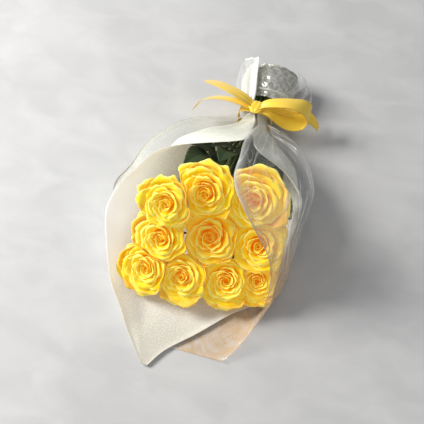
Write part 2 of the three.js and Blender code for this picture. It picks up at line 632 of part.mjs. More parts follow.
// The bow's strips as points from the tie: across, along, up, how far the strip's width is rolled from
// level, in degrees, and the share of the ribbon's width there. A loop, two tails to the left and one to the
// right.
const STRIPS = [
  [[3, 1, 25, 0, 0.4], [12, 4, 31, -10, 0.62], [27, 6, 36, -18, 0.85], [43, 10, 35, -18, 0.95],
    [58, 14, 28, -8, 1], [66, 14, 17, 4, 1], [62, 9, 9, 12, 1], [54, 5, 7, 14, 1], [42, 2, 9, 12, 1], [30, 0, 15, 8, 0.85],
    [18, 0, 22, 4, 0.62], [4, 0, 23.4, 0, 0.4]],
  [[-3, 2, 25, 0, 0.4], [-17, 4, 33, -16, 0.7], [-32, 9, 35, -28, 0.9], [-52, 19, 29, -34, 1],
    [-73, 29, 17, -44, 1]],
  [[-3, -1, 24, 0, 0.4], [-19, -1, 28, -24, 0.6], [-36, 0, 29, -36, 0.8], [-57, 0, 24, -42, 1],
    [-71, -2, 14, -46, 1], [-78, -8, 3, -40, 1]],
  [[5, 2, 23.4, 0, 0.4], [20, 7, 22, 0, 0.5], [36, 12, 14, 0, 0.6], [56, 20, 5, 0, 0.75],
    [68, 22, -3, 0, 0.7], [79, 16, -11, 0, 0.4]],
];
const KNOT = { at: [0, 0, 24.6], size: [8.5, 9, 3.6] };

function ribbonBand() {
  const { wide, low, high, along, squareness } = RIBBON_BAND;
  const sides = 20;
  const eased = (value) => Math.sign(value) * Math.abs(value) ** squareness;
  const grid = [-0.5, 0.5].map((side) => [...Array(sides).keys()].map((k) => {
    const turn = (2 * Math.PI * k) / sides;
    const [c, s] = [Math.cos(turn), Math.sin(turn)];
    return vec(wide * eased(c), side * along, TIE_HEIGHT + (s > 0 ? high : low) * eased(s));
  }));
  return sheetFrom(grid, RIBBON_THICKNESS, { loops: true });
}

function strip(points) {
  const places = points.map(([x, y, z]) => vec(x, y, z + TIE_HEIGHT));
  const centre = new THREE.CatmullRomCurve3(places, false, "centripetal");
  const rows = Math.ceil(1.5 * (points.length - 1));
  const table = points.map(([, , , roll, share], i) => [i / (points.length - 1), roll, share]);
  return solid(sheetFrom([...Array(rows + 1).keys()].map((i) => {
    const t = i / rows;
    const roll = rad(lerpTable(table, t, 1));
    const half = (lerpTable(table, t, 2) * RIBBON_WIDTH) / 2;
    return [-1, 0, 1].map((side) => {
      const sag = Math.abs(side) * 0.06 * half;
      const out = side * half;
      return centre.getPoint(t).add(vec(0, out * Math.cos(roll), out * Math.sin(roll) - sag));
    });
  }), RIBBON_THICKNESS));
}

function bow() {
  const knot = new THREE.SphereGeometry(1, 10, 6);
  knot.deleteAttribute("normal");
  knot.deleteAttribute("uv");
  knot.scale(...KNOT.size);
  knot.translate(KNOT.at[0], KNOT.at[1], KNOT.at[2] + TIE_HEIGHT);
  const points = pointsOf(knot);
  const faces = [];
  for (let i = 0; i < knot.index.count; i += 3)
    faces.push([knot.index.getX(i), knot.index.getX(i + 1), knot.index.getX(i + 2)]);
  return geometryOf(joined([solid(closedGeometry(points, faces)), ...STRIPS.map(strip)]));
}

addPiece("ribbon_band", ribbonBand(), "ribbon");
addPiece("ribbon_bow", bow(), "ribbon");

const box = new THREE.Box3().setFromObject(bunch);
bunch.position.set(-(box.min.x + box.max.x) / 2, -(box.min.y + box.max.y) / 2, -box.min.z);

export default bunch;
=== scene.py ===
import math
import bmesh
import bpy
import numpy as np
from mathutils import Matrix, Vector


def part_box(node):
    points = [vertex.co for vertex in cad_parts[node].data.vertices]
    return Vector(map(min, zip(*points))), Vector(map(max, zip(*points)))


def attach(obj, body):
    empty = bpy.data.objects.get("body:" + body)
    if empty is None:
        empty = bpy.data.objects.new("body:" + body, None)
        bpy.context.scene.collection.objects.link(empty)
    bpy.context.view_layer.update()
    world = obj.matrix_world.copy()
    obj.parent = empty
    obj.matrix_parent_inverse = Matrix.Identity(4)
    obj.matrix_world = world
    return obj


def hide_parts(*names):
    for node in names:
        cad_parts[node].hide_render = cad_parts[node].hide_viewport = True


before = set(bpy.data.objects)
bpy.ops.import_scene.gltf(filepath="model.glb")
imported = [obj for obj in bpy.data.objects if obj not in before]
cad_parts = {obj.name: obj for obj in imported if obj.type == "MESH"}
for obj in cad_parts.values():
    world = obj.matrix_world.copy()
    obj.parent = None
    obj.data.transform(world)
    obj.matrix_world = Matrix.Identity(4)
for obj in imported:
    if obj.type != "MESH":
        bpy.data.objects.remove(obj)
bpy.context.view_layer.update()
mm = 0.001
fullTurn = 6.28           # radians, as far as a drawn phase runs

# All shapes are worked out in millimetres in the frame, from the tie where the stems are bound.
bandLow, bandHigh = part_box("stem_band")
tie = np.array((bandLow + bandHigh) / 2) / mm

# face is the middle of the open flower from the tie, lean and rise are its axis in degrees, warmth how
# orange it is inside.
roses = [
    dict(face=(-51, -199, 84), lean=-5, rise=40, radius=25.5, seed=11, warmth=0.1),
    dict(face=(-13, -177, 89), lean=-2, rise=40, radius=29.5, seed=12, warmth=0.35),
    dict(face=(39, -168, 82), lean=2, rise=44, radius=32, seed=13, warmth=0.35),
    dict(face=(-53, -220.5, 44), lean=-10, rise=44, radius=29.5, seed=14, warmth=0.3),
    dict(face=(0, -205, 49), lean=0, rise=50, radius=33.5, seed=15, warmth=0.9),
    dict(face=(54, -199, 46), lean=4, rise=54, radius=30, seed=16, warmth=0.3),
    dict(face=(-64, -247, 16), lean=-13, rise=42, radius=27, seed=17, warmth=0.1),
    dict(face=(-20.5, -245, 16), lean=-4, rise=48, radius=26.5, seed=18, warmth=0.4),
    dict(face=(28, -235, 15), lean=2, rise=52, radius=27, seed=19, warmth=0.3),
    dict(face=(62, -224, 13), lean=8, rise=54, radius=24.5, seed=20, warmth=0.45),
]

flower = dict(
    radius=28,            # the radius that the petal sizes below are for
    faceHeight=36,        # foot to open face
    middleHeight=20,      # foot to widest part
    footRadius=4.5,
    footHeight=3,
    thickness=0.5,
    rimThickness=0.28,
    tuck=1.7,             # one edge of each petal lies out, the other in
    heart=((0.5, 2), (5, 3), (9, 8), (9, 14), (6, 20), (2, 24)),     # the bud's core: radius, height
    heartSides=14,
)

# Where the flowers press on each other and stop at the wraps.
crowd = dict(
    near=8,               # flowers with less room than this between them press on each other
    gap=0.3,
    zone=2.6,             # where a petal starts to give way to its neighbour
    passes=3,
    sway=0.75,            # how far the line between two neighbours wanders
    swayLength=(14, 34),
    swayWaves=4,
    lowest=4,             # height above the floor that they keep, over the sheets
    sideRoom=82,          # how far right of the tie they keep, clear of the film
)

# From the outermost petals to the bud. half is half a petal's width, lean its angle to the flower's axis at
# foot, middle and rim, and bend how tightly it is bowed, where 1 follows its ring round the axis. tip is the
# length of its point, and curl and roll turn its sides and its rim back.
petalLayers = [
    dict(count=5, turn=14, length=42, half=25, lean=(66, 30, 60), bend=0.95, tip=2.0, curl=4, roll=8),
    dict(count=5, turn=50, length=41.5, half=24, lean=(68, 34, 84), bend=0.95, tip=3.0, curl=8, roll=14),
    dict(count=5, turn=0, length=43, half=20, lean=(64, 22, 112), bend=0.95, tip=4.6, curl=24, roll=34),
    dict(count=5, turn=34, length=40.5, half=19, lean=(58, 14, 96), bend=0.98, tip=3.6, curl=24, roll=44),
    dict(count=4, turn=75, length=38, half=18.5, lean=(52, 7, 74), bend=1.0, tip=2.2, curl=18, roll=52),
    dict(count=4, turn=20, length=36.5, half=15.5, lean=(44, 1, 52), bend=1.04, tip=1.4, curl=12, roll=52),
    dict(count=4, turn=62, length=35, half=12.5, lean=(36, -2, 32), bend=1.1, tip=1.0, curl=8, roll=44),
    dict(count=3, turn=10, length=33.5, half=10.5, lean=(27, -5, 14), bend=1.15, tip=0.8, curl=4, roll=36),
    dict(count=3, turn=50, length=32, half=8, lean=(18, -7, -2), bend=1.2, tip=0.5, curl=0, roll=26),
    dict(count=2, turn=90, length=30, half=6, lean=(9, -8, -10), bend=1.25, tip=0.4, curl=0, roll=16),
]
petalGrid = dict(across=16, along=16, rootCrowding=0.9, bendSteps=20)
petalShape = dict(
    corner=0.2,           # how much shorter a petal is at its sides
    edgeWave=0.03,
    tipWidth=0.17,
    nibble=0.5,           # small unevenness of the rim
    rootWidth=0.16,       # share of the full width, which it reaches at widestAt
    widestAt=0.7,
    leastBow=2.2,
    mostSwing=2.6,        # how far round the flower, in radians, half a petal reaches
    rollFrom=0.86,        # share of its length where the rim starts to roll back
)

# How far the petals of a layer differ: turn is a share of the step between them, length a share of its own,
# lean in degrees, wave a ripple's height, and notch how far off the middle the point may stand. tip and roll
# are times the layer's own.
petalDraws = dict(turn=0.09, length=0.06, lean=(2, 4, 15), wave=(0.4, 1.25), notch=0.25, tip=(0.4, 1.4),
                  roll=(0.6, 1.3))


def unit(v):
    return v / np.linalg.norm(v)


def smooth(t):
    return t * t * (3 - 2 * t)


# Where a rose stands: turn and foot take the flower's own sizes to the frame.
def roseSeat(rose):
    lean, rise = math.radians(rose["lean"]), math.radians(rose["rise"])
    axis = np.array([math.sin(lean) * math.cos(rise), -math.cos(lean) * math.cos(rise), math.sin(rise)])
    across = unit(np.cross([0, 0, 1], axis))
    other = np.cross(axis, across)
    scale = rose["radius"] / flower["radius"]
    foot = tie + rose["face"] - axis * flower["faceHeight"] * scale
    return dict(axis=axis, turn=np.array([across, other, axis]) * scale, foot=foot, scale=scale,
                middle=foot + axis * flower["middleHeight"] * scale)


seats = [roseSeat(rose) for rose in roses]


def placed(points, seat):
    return points @ seat["turn"] + seat["foot"]


# Points that lie this far out, sideways and up, turned about the flower's axis.
def aroundAxis(out, sideways, height, turn):
    return np.stack([out * math.cos(turn) - sideways * math.sin(turn),
                     out * math.sin(turn) + sideways * math.cos(turn), height], axis=2)


# Planes that a flower keeps behind: a waving one between it and each near neighbour, the sheets under it and
# the film beside it.
def planesOf(index):
    own, radius, planes = seats[index]["middle"], roses[index]["radius"], []
    for k, other in enumerate(roses):
        away = seats[k]["middle"] - own
        distance = np.linalg.norm(away)
        if k == index or distance > radius + other["radius"] + crowd["near"]:
            continue
        share = (distance**2 + radius**2 - other["radius"] ** 2) / (2 * distance)
        rng = np.random.default_rng(100 * min(index, k) + max(index, k))      # alike for both neighbours
        normal = away / distance
        ways = []
        for size in rng.uniform(*crowd["swayLength"], crowd["swayWaves"]):
            way = np.cross(normal, unit(rng.normal(size=3)))
            ways.append((unit(way) * 2 * math.pi / size, rng.uniform(0, fullTurn)))
        planes.append((normal, share - crowd["gap"], ways, 1 if index < k else -1))
    planes.append((np.array([0, 0, -1.0]), own[2] - crowd["lowest"], [], 0))
    planes.append((np.array([1.0, 0, 0]), tie[0] + crowd["sideRoom"] - own[0], [], 0))
    return own, planes


# In the first pass points give way softly before a plane, and the later ones only hold them behind it.
def pressed(points, index):
    own, planes = planesOf(index)
    zone = crowd["zone"]
    for step in range(crowd["passes"]):
        for normal, middle, ways, sign in planes:
            limit = middle + sign * crowd["sway"] * sum(np.sin(points @ way + phase) for way, phase in ways)
            reach = (points - own) @ normal
            over = np.maximum(reach - (limit - zone), 0)
            soft = limit - zone + zone * (1 - np.exp(-over / zone))
            kept = soft if step == 0 else np.minimum(reach, limit)
            points = points + np.where(over > 0, kept - reach, 0)[..., None] * normal
    return points


def addObject(name, data):
    thing = bpy.data.objects.new(name, data)
    bpy.context.scene.collection.objects.link(thing)
    return thing


# Hides the CAD part that a piece stands for. Nothing moves, so every piece rides on the one body.
def declare(piece, node):
    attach(piece, "root")
    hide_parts(node)


# A mesh from parts, each a dict of points, faces and named values at each point, uv among them.
def meshFrom(name, parts, material):
    points, faces, start = [], [], 0
    names = sorted({key for part in parts for key in part if key not in ("points", "faces")})
    values = {key: [] for key in names}
    for part in parts:
        count = len(part["points"])
        points.append(part["points"])
        faces.extend([tuple(start + i for i in face) for face in part["faces"]])
        for key in names:
            values[key].append(np.broadcast_to(part.get(key, (0, 0, 0)), (count, 3)))
        start += count
    mesh = bpy.data.meshes.new(name)
    mesh.from_pydata((np.concatenate(points) * mm).tolist(), [], faces)
    for key in names:
        data = np.concatenate(values[key]).astype(np.float32)
        if key == "uv":
            layer = mesh.uv_layers.new(name="uv")
            loops = np.zeros(len(mesh.loops), np.int32)
            mesh.loops.foreach_get("vertex_index", loops)
            layer.data.foreach_set("uv", data[loops][:, :2].ravel())
        else:
            mesh.attributes.new(key, "FLOAT_VECTOR", "POINT").data.foreach_set("vector", data.ravel())
    mesh.polygons.foreach_set("use_smooth", [True] * len(mesh.polygons))
    mesh.materials.append(material)
    return addObject(name, mesh)


# Merges doubled points, closes poles and turns every face outwards.
def outward(piece):
    work = bmesh.new()
    work.from_mesh(piece.data)
    bmesh.ops.remove_doubles(work, verts=work.verts, dist=1e-6)
    bmesh.ops.recalc_face_normals(work, faces=work.faces)
    work.to_mesh(piece.data)
    work.free()


# A piece of one closed part.
def closedPiece(name, part, material, node):
    piece = meshFrom(name, [part], material)
    outward(piece)
    declare(piece, node)


def gridNormals(grid, loops=False):
    if loops:
        wide = np.concatenate([grid[:, -1:], grid, grid[:, :1]], axis=1)
        across = (wide[:, 2:] - wide[:, :-2]) / 2
    else:
        across = np.gradient(grid, axis=1)
    normal = np.cross(across, np.gradient(grid, axis=0))
    return normal / np.maximum(np.linalg.norm(normal, axis=2, keepdims=True), 1e-9)


# A thin closed blade round a grid of points. thickness may change from point to point, and loops joins the
# last column to the first.
def blade(grid, thickness, loops=False, **values):
    rows, columns = grid.shape[:2]
    half = gridNormals(grid, loops) * np.broadcast_to(thickness, (rows, columns))[..., None] / 2
    points = np.concatenate([(grid + half).reshape(-1, 3), (grid - half).reshape(-1, 3)])
    last = columns if loops else columns - 1
    faces = []

    def addFace(*corners):
        faces.append(tuple(side * rows * columns + i * columns + j % columns for side, i, j in corners))

    for i in range(rows - 1):
        for j in range(last):
            addFace((0, i, j), (0, i, j + 1), (0, i + 1, j + 1), (0, i + 1, j))
            addFace((1, i, j), (1, i + 1, j), (1, i + 1, j + 1), (1, i, j + 1))
    for j in range(last):
        addFace((1, 0, j), (1, 0, j + 1), (0, 0, j + 1), (0, 0, j))
        addFace((0, rows - 1, j), (0, rows - 1, j + 1), (1, rows - 1, j + 1), (1, rows - 1, j))
    if not loops:
        for i in range(rows - 1):
            addFace((0, i, 0), (0, i + 1, 0), (1, i + 1, 0), (1, i, 0))
            addFace((1, i, last), (1, i + 1, last), (0, i + 1, last), (0, i, last))
    u, v = np.meshgrid(np.linspace(0, 1, columns), np.linspace(0, 1, rows))
    part = dict(points=points, faces=faces)
    for key, value in dict(values, uv=np.stack([u, v, u * 0], axis=2)).items():
        part[key] = np.tile(np.broadcast_to(value, (rows, columns, 3)).reshape(-1, 3), (2, 1))
    return part


# The faces of rings of points that follow each other, with a middle point for each end after them.
def ringFaces(rings, sides):
    faces, top = [], (rings - 1) * sides
    low, high = rings * sides, rings * sides + 1
    for i in range(rings - 1):
        for k in range(sides):
            here, beside = i * sides + k, i * sides + (k + 1) % sides
            faces.append((here, beside, beside + sides, here + sides))
    for k in range(sides):
        faces.append((low, (k + 1) % sides, k))
        faces.append((high, top + k, top + (k + 1) % sides))
    return faces


# A turned solid round the flower's axis from pairs of radius and height.
def turned(profile, sides):
    angle = np.arange(sides) * 2 * math.pi / sides
    rings = [np.stack([radius * np.cos(angle), radius * np.sin(angle), np.full(sides, height)], axis=1)
             for radius, height in profile]
    ends = np.array([[0, 0, profile[0][1]], [0, 0, profile[-1][1]]], float)
    return dict(points=np.concatenate(rings + [ends]), faces=ringFaces(len(rings), sides))


# Links what comes from a node, and sets any other value on the socket.
def feed(tree, socket, value):
    if isinstance(value, bpy.types.NodeSocket):
        tree.links.new(value, socket)
    else:
        socket.default_value = value


def newMaterial(name, **settings):
    material = bpy.data.materials.new(name)
    material.use_nodes = True
    shader = material.node_tree.nodes["Principled BSDF"]
    for key, value in settings.items():
        shader.inputs[key.replace("_", " ")].default_value = value
    return material, material.node_tree, shader


def addNode(tree, kind, **inputs):
    node = tree.nodes.new(kind)
    for key, value in inputs.items():
        name = key.replace("_", " ")
        feed(tree, next(s for s in node.inputs if s.name == name and s.enabled), value)
    return node


def mixColour(tree, factor, first, second, kind="MIX"):
    node = tree.nodes.new("ShaderNodeMix")
    node.data_type, node.blend_type = "RGBA", kind
    for socket, value in zip((node.inputs[0], node.inputs[6], node.inputs[7]), (factor, first, second)):
        feed(tree, socket, value)
    return node.outputs[2]


def ramp(tree, value, stops):
    node = tree.nodes.new("ShaderNodeValToRGB")
    tree.links.new(value, node.inputs[0])
    while len(node.color_ramp.elements) < len(stops):
        node.color_ramp.elements.new(0.5)
    for element, (at, colour) in zip(node.color_ramp.elements, stops):
        element.position = at
        element.color = colour if hasattr(colour, "__len__") else (colour, colour, colour, 1)
    return node.outputs[0]


def maths(tree, operation, first, second=0.0):
    node = tree.nodes.new("ShaderNodeMath")
    node.operation = operation
    feed(tree, node.inputs[0], first)
    feed(tree, node.inputs[1], second)
    return node.outputs[0]


def plus(tree, first, *others):
    for other in others:
        first = maths(tree, "ADD", first, other)
    return first


def times(tree, first, *others):
    for other in others:
        first = maths(tree, "MULTIPLY", first, other)
    return first


def fromHalf(tree, value):
    return maths(tree, "ABSOLUTE", maths(tree, "SUBTRACT", value, 0.5))


def objectPlace(tree):
    return tree.nodes.new("ShaderNodeTexCoord").outputs["Object"]


def splitUp(tree, vector):
    parts = tree.nodes.new("ShaderNodeSeparateXYZ")
    tree.links.new(vector, parts.inputs[0])
    return parts.outputs


# The piece's own map, and how far across and along it a point lies.
def ownMap(tree):
    node = tree.nodes.new("ShaderNodeUVMap")
    node.uv_map = "uv"
    across, along, _ = splitUp(tree, node.outputs["UV"])
    return node.outputs["UV"], across, along


def attribute(tree, name):
    node = tree.nodes.new("ShaderNodeAttribute")
    node.attribute_name = name
    return splitUp(tree, node.outputs["Vector"])


def noise(tree, vector, **settings):
    return addNode(tree, "ShaderNodeTexNoise", Vector=vector, **settings).outputs["Fac"]


# A map drawn out by a different amount each way, so that what is laid on it runs one way.
def stretched(tree, vector, stretch, turn=0.0, start=0.0):
    return addNode(tree, "ShaderNodeMapping", Vector=vector, Scale=stretch, Rotation=(0, 0, turn),
                   Location=(start, start, 0)).outputs[0]


# Fine mottling in two sizes, shared by most finishes. Size is the coarse spots' size in metres.
def buildMottle():
    group = bpy.data.node_groups.new("mottle", "ShaderNodeTree")
    size = group.interface.new_socket("Size", in_out="INPUT", socket_type="NodeSocketFloat")
    size.default_value = 0.01
    group.interface.new_socket("Vector", in_out="INPUT", socket_type="NodeSocketVector")
    for name in ("Coarse", "Fine"):
        group.interface.new_socket(name, in_out="OUTPUT", socket_type="NodeSocketFloat")
    start, end = group.nodes.new("NodeGroupInput"), group.nodes.new("NodeGroupOutput")
    scale = maths(group, "DIVIDE", 1.0, start.outputs["Size"])
    for name, finer, detail in (("Coarse", 1.0, 3.0), ("Fine", 9.0, 4.0)):
        spots = noise(group, start.outputs["Vector"], Scale=times(group, scale, finer), Detail=detail)
        group.links.new(spots, end.inputs[name])
    return group


mottle = buildMottle()


def mottled(tree, size):
    node = tree.nodes.new("ShaderNodeGroup")
    node.node_tree = mottle
    node.inputs["Size"].default_value = size
    tree.links.new(objectPlace(tree), node.inputs["Vector"])
    return node.outputs["Coarse"], node.outputs["Fine"]


def addBump(tree, shader, height, strength, distance):
    bump = addNode(tree, "ShaderNodeBump", Strength=strength, Distance=distance, Height=height)
    tree.links.new(bump.outputs["Normal"], shader.inputs["Normal"])


petalFinish = dict(
    yellow=(0.92, 0.63, 0.002, 1),
    lemon=(0.92, 0.73, 0.006, 1),
    rim=(0.95, 0.87, 0.22, 1),
    orange=(0.90, 0.36, 0.001, 1),
    # shade is painted shade: the darker orange of the outermost petals, low in the gaps between flowers
    shade=(0.80, 0.31, 0.001, 1),
    mottle=0.012,
    veins=(34, 3, 1),     # how many across and along a petal
    through=0.25,
    paintedGlow=0.14,            # painted glow: the petals give off light of their own colour, standing in for light through them
)


# place holds how far out on the petal, how deep in the flower and how far across; tone is drawn for each
# petal.
def buildPetals():
    look = petalFinish
    material, tree, shader = newMaterial(
        "petals", Roughness=0.55, Specular_IOR_Level=0.25, Emission_Strength=look["paintedGlow"],
        Subsurface_Weight=look["through"], Subsurface_Radius=(0.002, 0.0017, 0.001), Subsurface_Scale=1.0)
    out, depth, across = attribute(tree, "place")
    tone, warmth, _ = attribute(tree, "tone")
    coarse, fine = mottled(tree, look["mottle"])
    body = mixColour(tree, ramp(tree, depth, [(0.1, 0.0), (0.75, 0.9)]), look["lemon"], look["yellow"])
    body = mixColour(tree, ramp(tree, coarse, [(0.35, 0.0), (0.7, 0.5)]), body, look["yellow"])
    warm = times(tree, ramp(tree, out, [(0.5, 1.0), (0.95, 0.05)]),
                 ramp(tree, depth, [(0.0, 0.7), (0.5, 0.75), (0.8, 1.0)]))
    body = mixColour(tree, warm, body, look["orange"])
    ripe = times(tree, warmth, ramp(tree, depth, [(0.1, 0.15), (0.8, 0.55)]))
    body = mixColour(tree, ripe, body, look["orange"])
    # Painted shade: the outermost petals darken to shade, where they lie low between the flowers.
    body = mixColour(tree, ramp(tree, depth, [(0.0, 0.8), (0.11, 0.35), (0.16, 0.0)]), body, look["shade"])
    edge = plus(tree, ramp(tree, out, [(0.92, 0.0), (0.99, 0.9)]),
                times(tree, ramp(tree, across, [(0.88, 0.0), (1.0, 0.5)]),
                      ramp(tree, out, [(0.5, 0.0), (0.8, 1.0)])))
    edge = times(tree, edge, ramp(tree, depth, [(0.0, 0.3), (0.15, 1.0), (0.7, 0.8), (1.0, 0.3)]))
    body = mixColour(tree, edge, body, look["rim"])
    body = mixColour(tree, times(tree, tone, 0.16), body, look["rim"])
    tree.links.new(body, shader.inputs["Base Color"])
    # Painted glow: the petals' colour also goes out as light, lifting their shaded crevices.
    tree.links.new(body, shader.inputs["Emission Color"])
    uv, _, _ = ownMap(tree)
    veins = noise(tree, stretched(tree, uv, look["veins"]), Scale=1.0, Detail=2.0)
    addBump(tree, shader, plus(tree, veins, times(tree, fine, 0.3)), 0.35, 0.0006)
    return material


leafFinish = dict(
    dark=(0.012, 0.028, 0.008, 1),
    light=(0.036, 0.070, 0.018, 1),
    under=(0.12, 0.17, 0.12, 1),
    vein=(0.07, 0.12, 0.04, 1),
    mottle=0.01,
    veins=8.0,            # to a side
    slant=7.0,
    veinWidth=0.09,
    ribWidth=0.035,
)


def buildLeaves():
    look = leafFinish
    material, tree, shader = newMaterial("leaves", Roughness=0.42)
    _, across, along = ownMap(tree)
    side = fromHalf(tree, across)
    coarse, fine = mottled(tree, look["mottle"])
    base = mixColour(tree, ramp(tree, coarse, [(0.3, 0.0), (0.75, 1.0)]), look["dark"], look["light"])
    run = maths(tree, "SUBTRACT", times(tree, along, look["veins"]), times(tree, side, look["slant"]))
    veins = ramp(tree, fromHalf(tree, maths(tree, "FRACT", run)), [(0.0, 1.0), (look["veinWidth"], 0.0)])
    rib = ramp(tree, side, [(0.0, 1.0), (look["ribWidth"], 0.0)])
    lines = maths(tree, "MAXIMUM", rib, times(tree, veins, 0.6))
    base = mixColour(tree, times(tree, lines, 0.7), base, look["vein"])
    base = mixColour(tree, attribute(tree, "under")[0], base, look["under"])
    tree.links.new(base, shader.inputs["Base Color"])
    addBump(tree, shader, plus(tree, times(tree, lines, -1.0), times(tree, fine, 0.3)), 0.5, 0.0005)
    return material


# Green canes, sodden wadding and brown rubber: two colours that run into each other over a fine grain.
plainFinishes = dict(
    stems=dict(dark=(0.035, 0.10, 0.02, 1), light=(0.10, 0.19, 0.05, 1), roughness=0.5, mottle=0.008,
               bump=0.3, grain=0.0004),
    pad=dict(dark=(0.42, 0.45, 0.40, 1), light=(0.66, 0.68, 0.62, 1), roughness=0.6, mottle=0.004,
             bump=0.7, grain=0.001),
    rubber=dict(dark=(0.35, 0.20, 0.07, 1), light=(0.48, 0.31, 0.13, 1), roughness=0.6, mottle=0.003,
                bump=0.4, grain=0.0003),
)


def buildPlain(name):
    look = plainFinishes[name]
    material, tree, shader = newMaterial(name, Roughness=look["roughness"])
    coarse, fine = mottled(tree, look["mottle"])
    tree.links.new(mixColour(tree, coarse, look["dark"], look["light"]), shader.inputs["Base Color"])
    addBump(tree, shader, fine, look["bump"], look["grain"])
    return material


paperFinish = dict(
    # The sheet's colour from its end at the foot to its tip: cream paper with painted shade towards both
    # ends, where it takes the most light, and painted light in the middle, where it rises beside and under
    # the flowers.
    along=[(0.0, (0.46, 0.455, 0.38, 1)), (0.2, (0.60, 0.59, 0.48, 1)), (0.34, (0.66, 0.67, 0.55, 1)),
           (0.5, (0.80, 0.81, 0.70, 1)), (0.64, (0.89, 0.93, 0.95, 1)), (0.82, (0.66, 0.625, 0.53, 1)),
           (1.0, (0.45, 0.42, 0.33, 1))],
    bright=(0.90, 0.90, 0.85, 1),
    mottle=0.05,
    fibres=(60, 240, 1),
    fibreTurn=0.6,
    through=0.3,
    paintedGlow=0.34,            # painted glow: the paper gives off light for what comes through the raised side, a third of it past the flowers
)


def buildPaper():
    look = paperFinish
    material, tree, shader = newMaterial(
        "paper", Roughness=0.6, Emission_Strength=look["paintedGlow"], Subsurface_Weight=look["through"],
        Subsurface_Radius=(0.003, 0.0028, 0.0024), Subsurface_Scale=1.0)
    coarse, _ = mottled(tree, look["mottle"])
    uv, across, along = ownMap(tree)
    fibres = noise(tree, stretched(tree, uv, look["fibres"], look["fibreTurn"]), Scale=1.0, Detail=6.0)
    place = plus(tree, along, times(tree, maths(tree, "SUBTRACT", coarse, 0.5), 0.12))
    # Painted light and shade along the sheet, over its cream colour.
    base = ramp(tree, place, look["along"])
    base = mixColour(tree, ramp(tree, fibres, [(0.42, 0.0), (0.62, 0.4)]), base, look["bright"])
    tree.links.new(base, shader.inputs["Base Color"])
    # Painted glow, on the raised left side and a third as much past the flowers.
    lit = maths(tree, "MAXIMUM", ramp(tree, across, [(0.14, 1.0), (0.34, 0.0)]),
                ramp(tree, along, [(0.74, 0.0), (0.82, 0.3)]))
    lit = times(tree, lit, ramp(tree, along, [(0.34, 0.2), (0.44, 1.0)]))
    tree.links.new(mixColour(tree, 1.0, base, lit, "MULTIPLY"), shader.inputs["Emission Color"])
    addBump(tree, shader, plus(tree, fibres, times(tree, coarse, 6.0)), 0.3, 0.0008)
    return material


filmFinish = dict(
    tint=(0.80, 0.81, 0.79, 1),
    warm=(0.62, 0.44, 0.25, 1),       # painted reflection of the flowers in the film's folds
    mottle=0.06,
    creases=(((16, 1.6, 1), 0.022, 0.0), ((34, 3.5, 1), 0.018, 3.7)),      # stretch, width and start
    # How much each part hides what lies behind it, and the most that all of them do.
    haze=0.04,            # plain film
    # the crease lines with their painted highlights
    grazing=0.20,         # film seen along its face
    creaseAndHighlight=0.85,
    rim=0.85,             # painted highlight along the cut edge
    leftHighlight=0.4,              # painted highlight down the left side
    flowerReflection=0.36,           # the painted reflection of the flowers in the lower folds
    most=0.95,
    shadow=0.3,           # how much of a shadow the film throws
)


def buildFilm():
    look = filmFinish
    material, tree, shader = newMaterial("film", Roughness=0.14)
    coarse, _ = mottled(tree, look["mottle"])
    uv, across, along = ownMap(tree)
    lines = []
    for stretch, width, start in look["creases"]:
        flow = noise(tree, stretched(tree, uv, stretch, start=start), Scale=1.0, Detail=1.5, Distortion=0.4)
        lines.append(ramp(tree, fromHalf(tree, flow), [(0.0, 1.0), (width, 0.0)]))
    # Crease lines, bumped and also painted as highlights, most where the film turns on the right.
    creaseAndHighlight = times(tree, maths(tree, "MAXIMUM", lines[0], times(tree, lines[1], 0.7)),
                   ramp(tree, coarse, [(0.42, 0.05), (0.6, 1.0)]),
                   ramp(tree, across, [(0.3, 0.3), (0.6, 0.6), (0.74, 1.0), (0.87, 1.0), (0.93, 0.25)]))
    lower = times(tree, ramp(tree, along, [(0.62, 0.0), (0.78, 1.0)]),
                  ramp(tree, across, [(0.34, 0.0), (0.5, 1.0)]))
    wave = noise(tree, objectPlace(tree), Scale=22.0, Detail=1.0, Distortion=1.6)
    # Painted reflection of the flowers, wavering over the film's lower right part.
    flowerReflection = times(tree, lower, ramp(tree, wave, [(0.3, 0.6), (0.5, 1.0), (0.65, 0.7)]))
    tree.links.new(mixColour(tree, flowerReflection, look["tint"], look["warm"]), shader.inputs["Base Color"])
    addBump(tree, shader, plus(tree, times(tree, coarse, 4.0), times(tree, creaseAndHighlight, 0.5)), 0.5, 0.002)
    facing = addNode(tree, "ShaderNodeLayerWeight", Blend=0.3)
    grazing = maths(tree, "POWER", facing.outputs["Facing"], 3.0)
    # Painted highlight: a whitish band down the film's left side.
    leftHighlight = ramp(tree, across, [(0.0, 1.0), (0.06, 0.3), (0.16, 0.0)])
    # Painted highlight along the cut edge, strongest on the left.
    rim = times(tree, attribute(tree, "edge")[0], ramp(tree, across, [(0.0, 1.0), (1.0, 0.45)]))
    cover = look["haze"]
    for part, mask in dict(grazing=grazing, creaseAndHighlight=creaseAndHighlight, leftHighlight=leftHighlight, flowerReflection=flowerReflection, rim=rim).items():
        cover = plus(tree, cover, times(tree, mask, look[part]))
    light = tree.nodes.new("ShaderNodeLightPath").outputs["Is Shadow Ray"]
    clear = maths(tree, "SUBTRACT", 1.0, times(tree, light, 1 - look["shadow"]))
    tree.links.new(times(tree, maths(tree, "MINIMUM", cover, look["most"]), clear), shader.inputs["Alpha"])
    return material


ribbonFinish = dict(
    gold=(0.84, 0.54, 0.020, 1),
    bright=(0.90, 0.64, 0.07, 1),
    shade=(0.55, 0.28, 0.01, 1),
    weave=(12, 700, 1),
    selvedge=((0.465, 0.0), (0.475, 1.0)),      # from the ribbon's middle line, where its width is 1
    # painted glow: the ribbon gives off a little light of its own colour, lifting its shaded loop
    paintedGlow=0.07,
)


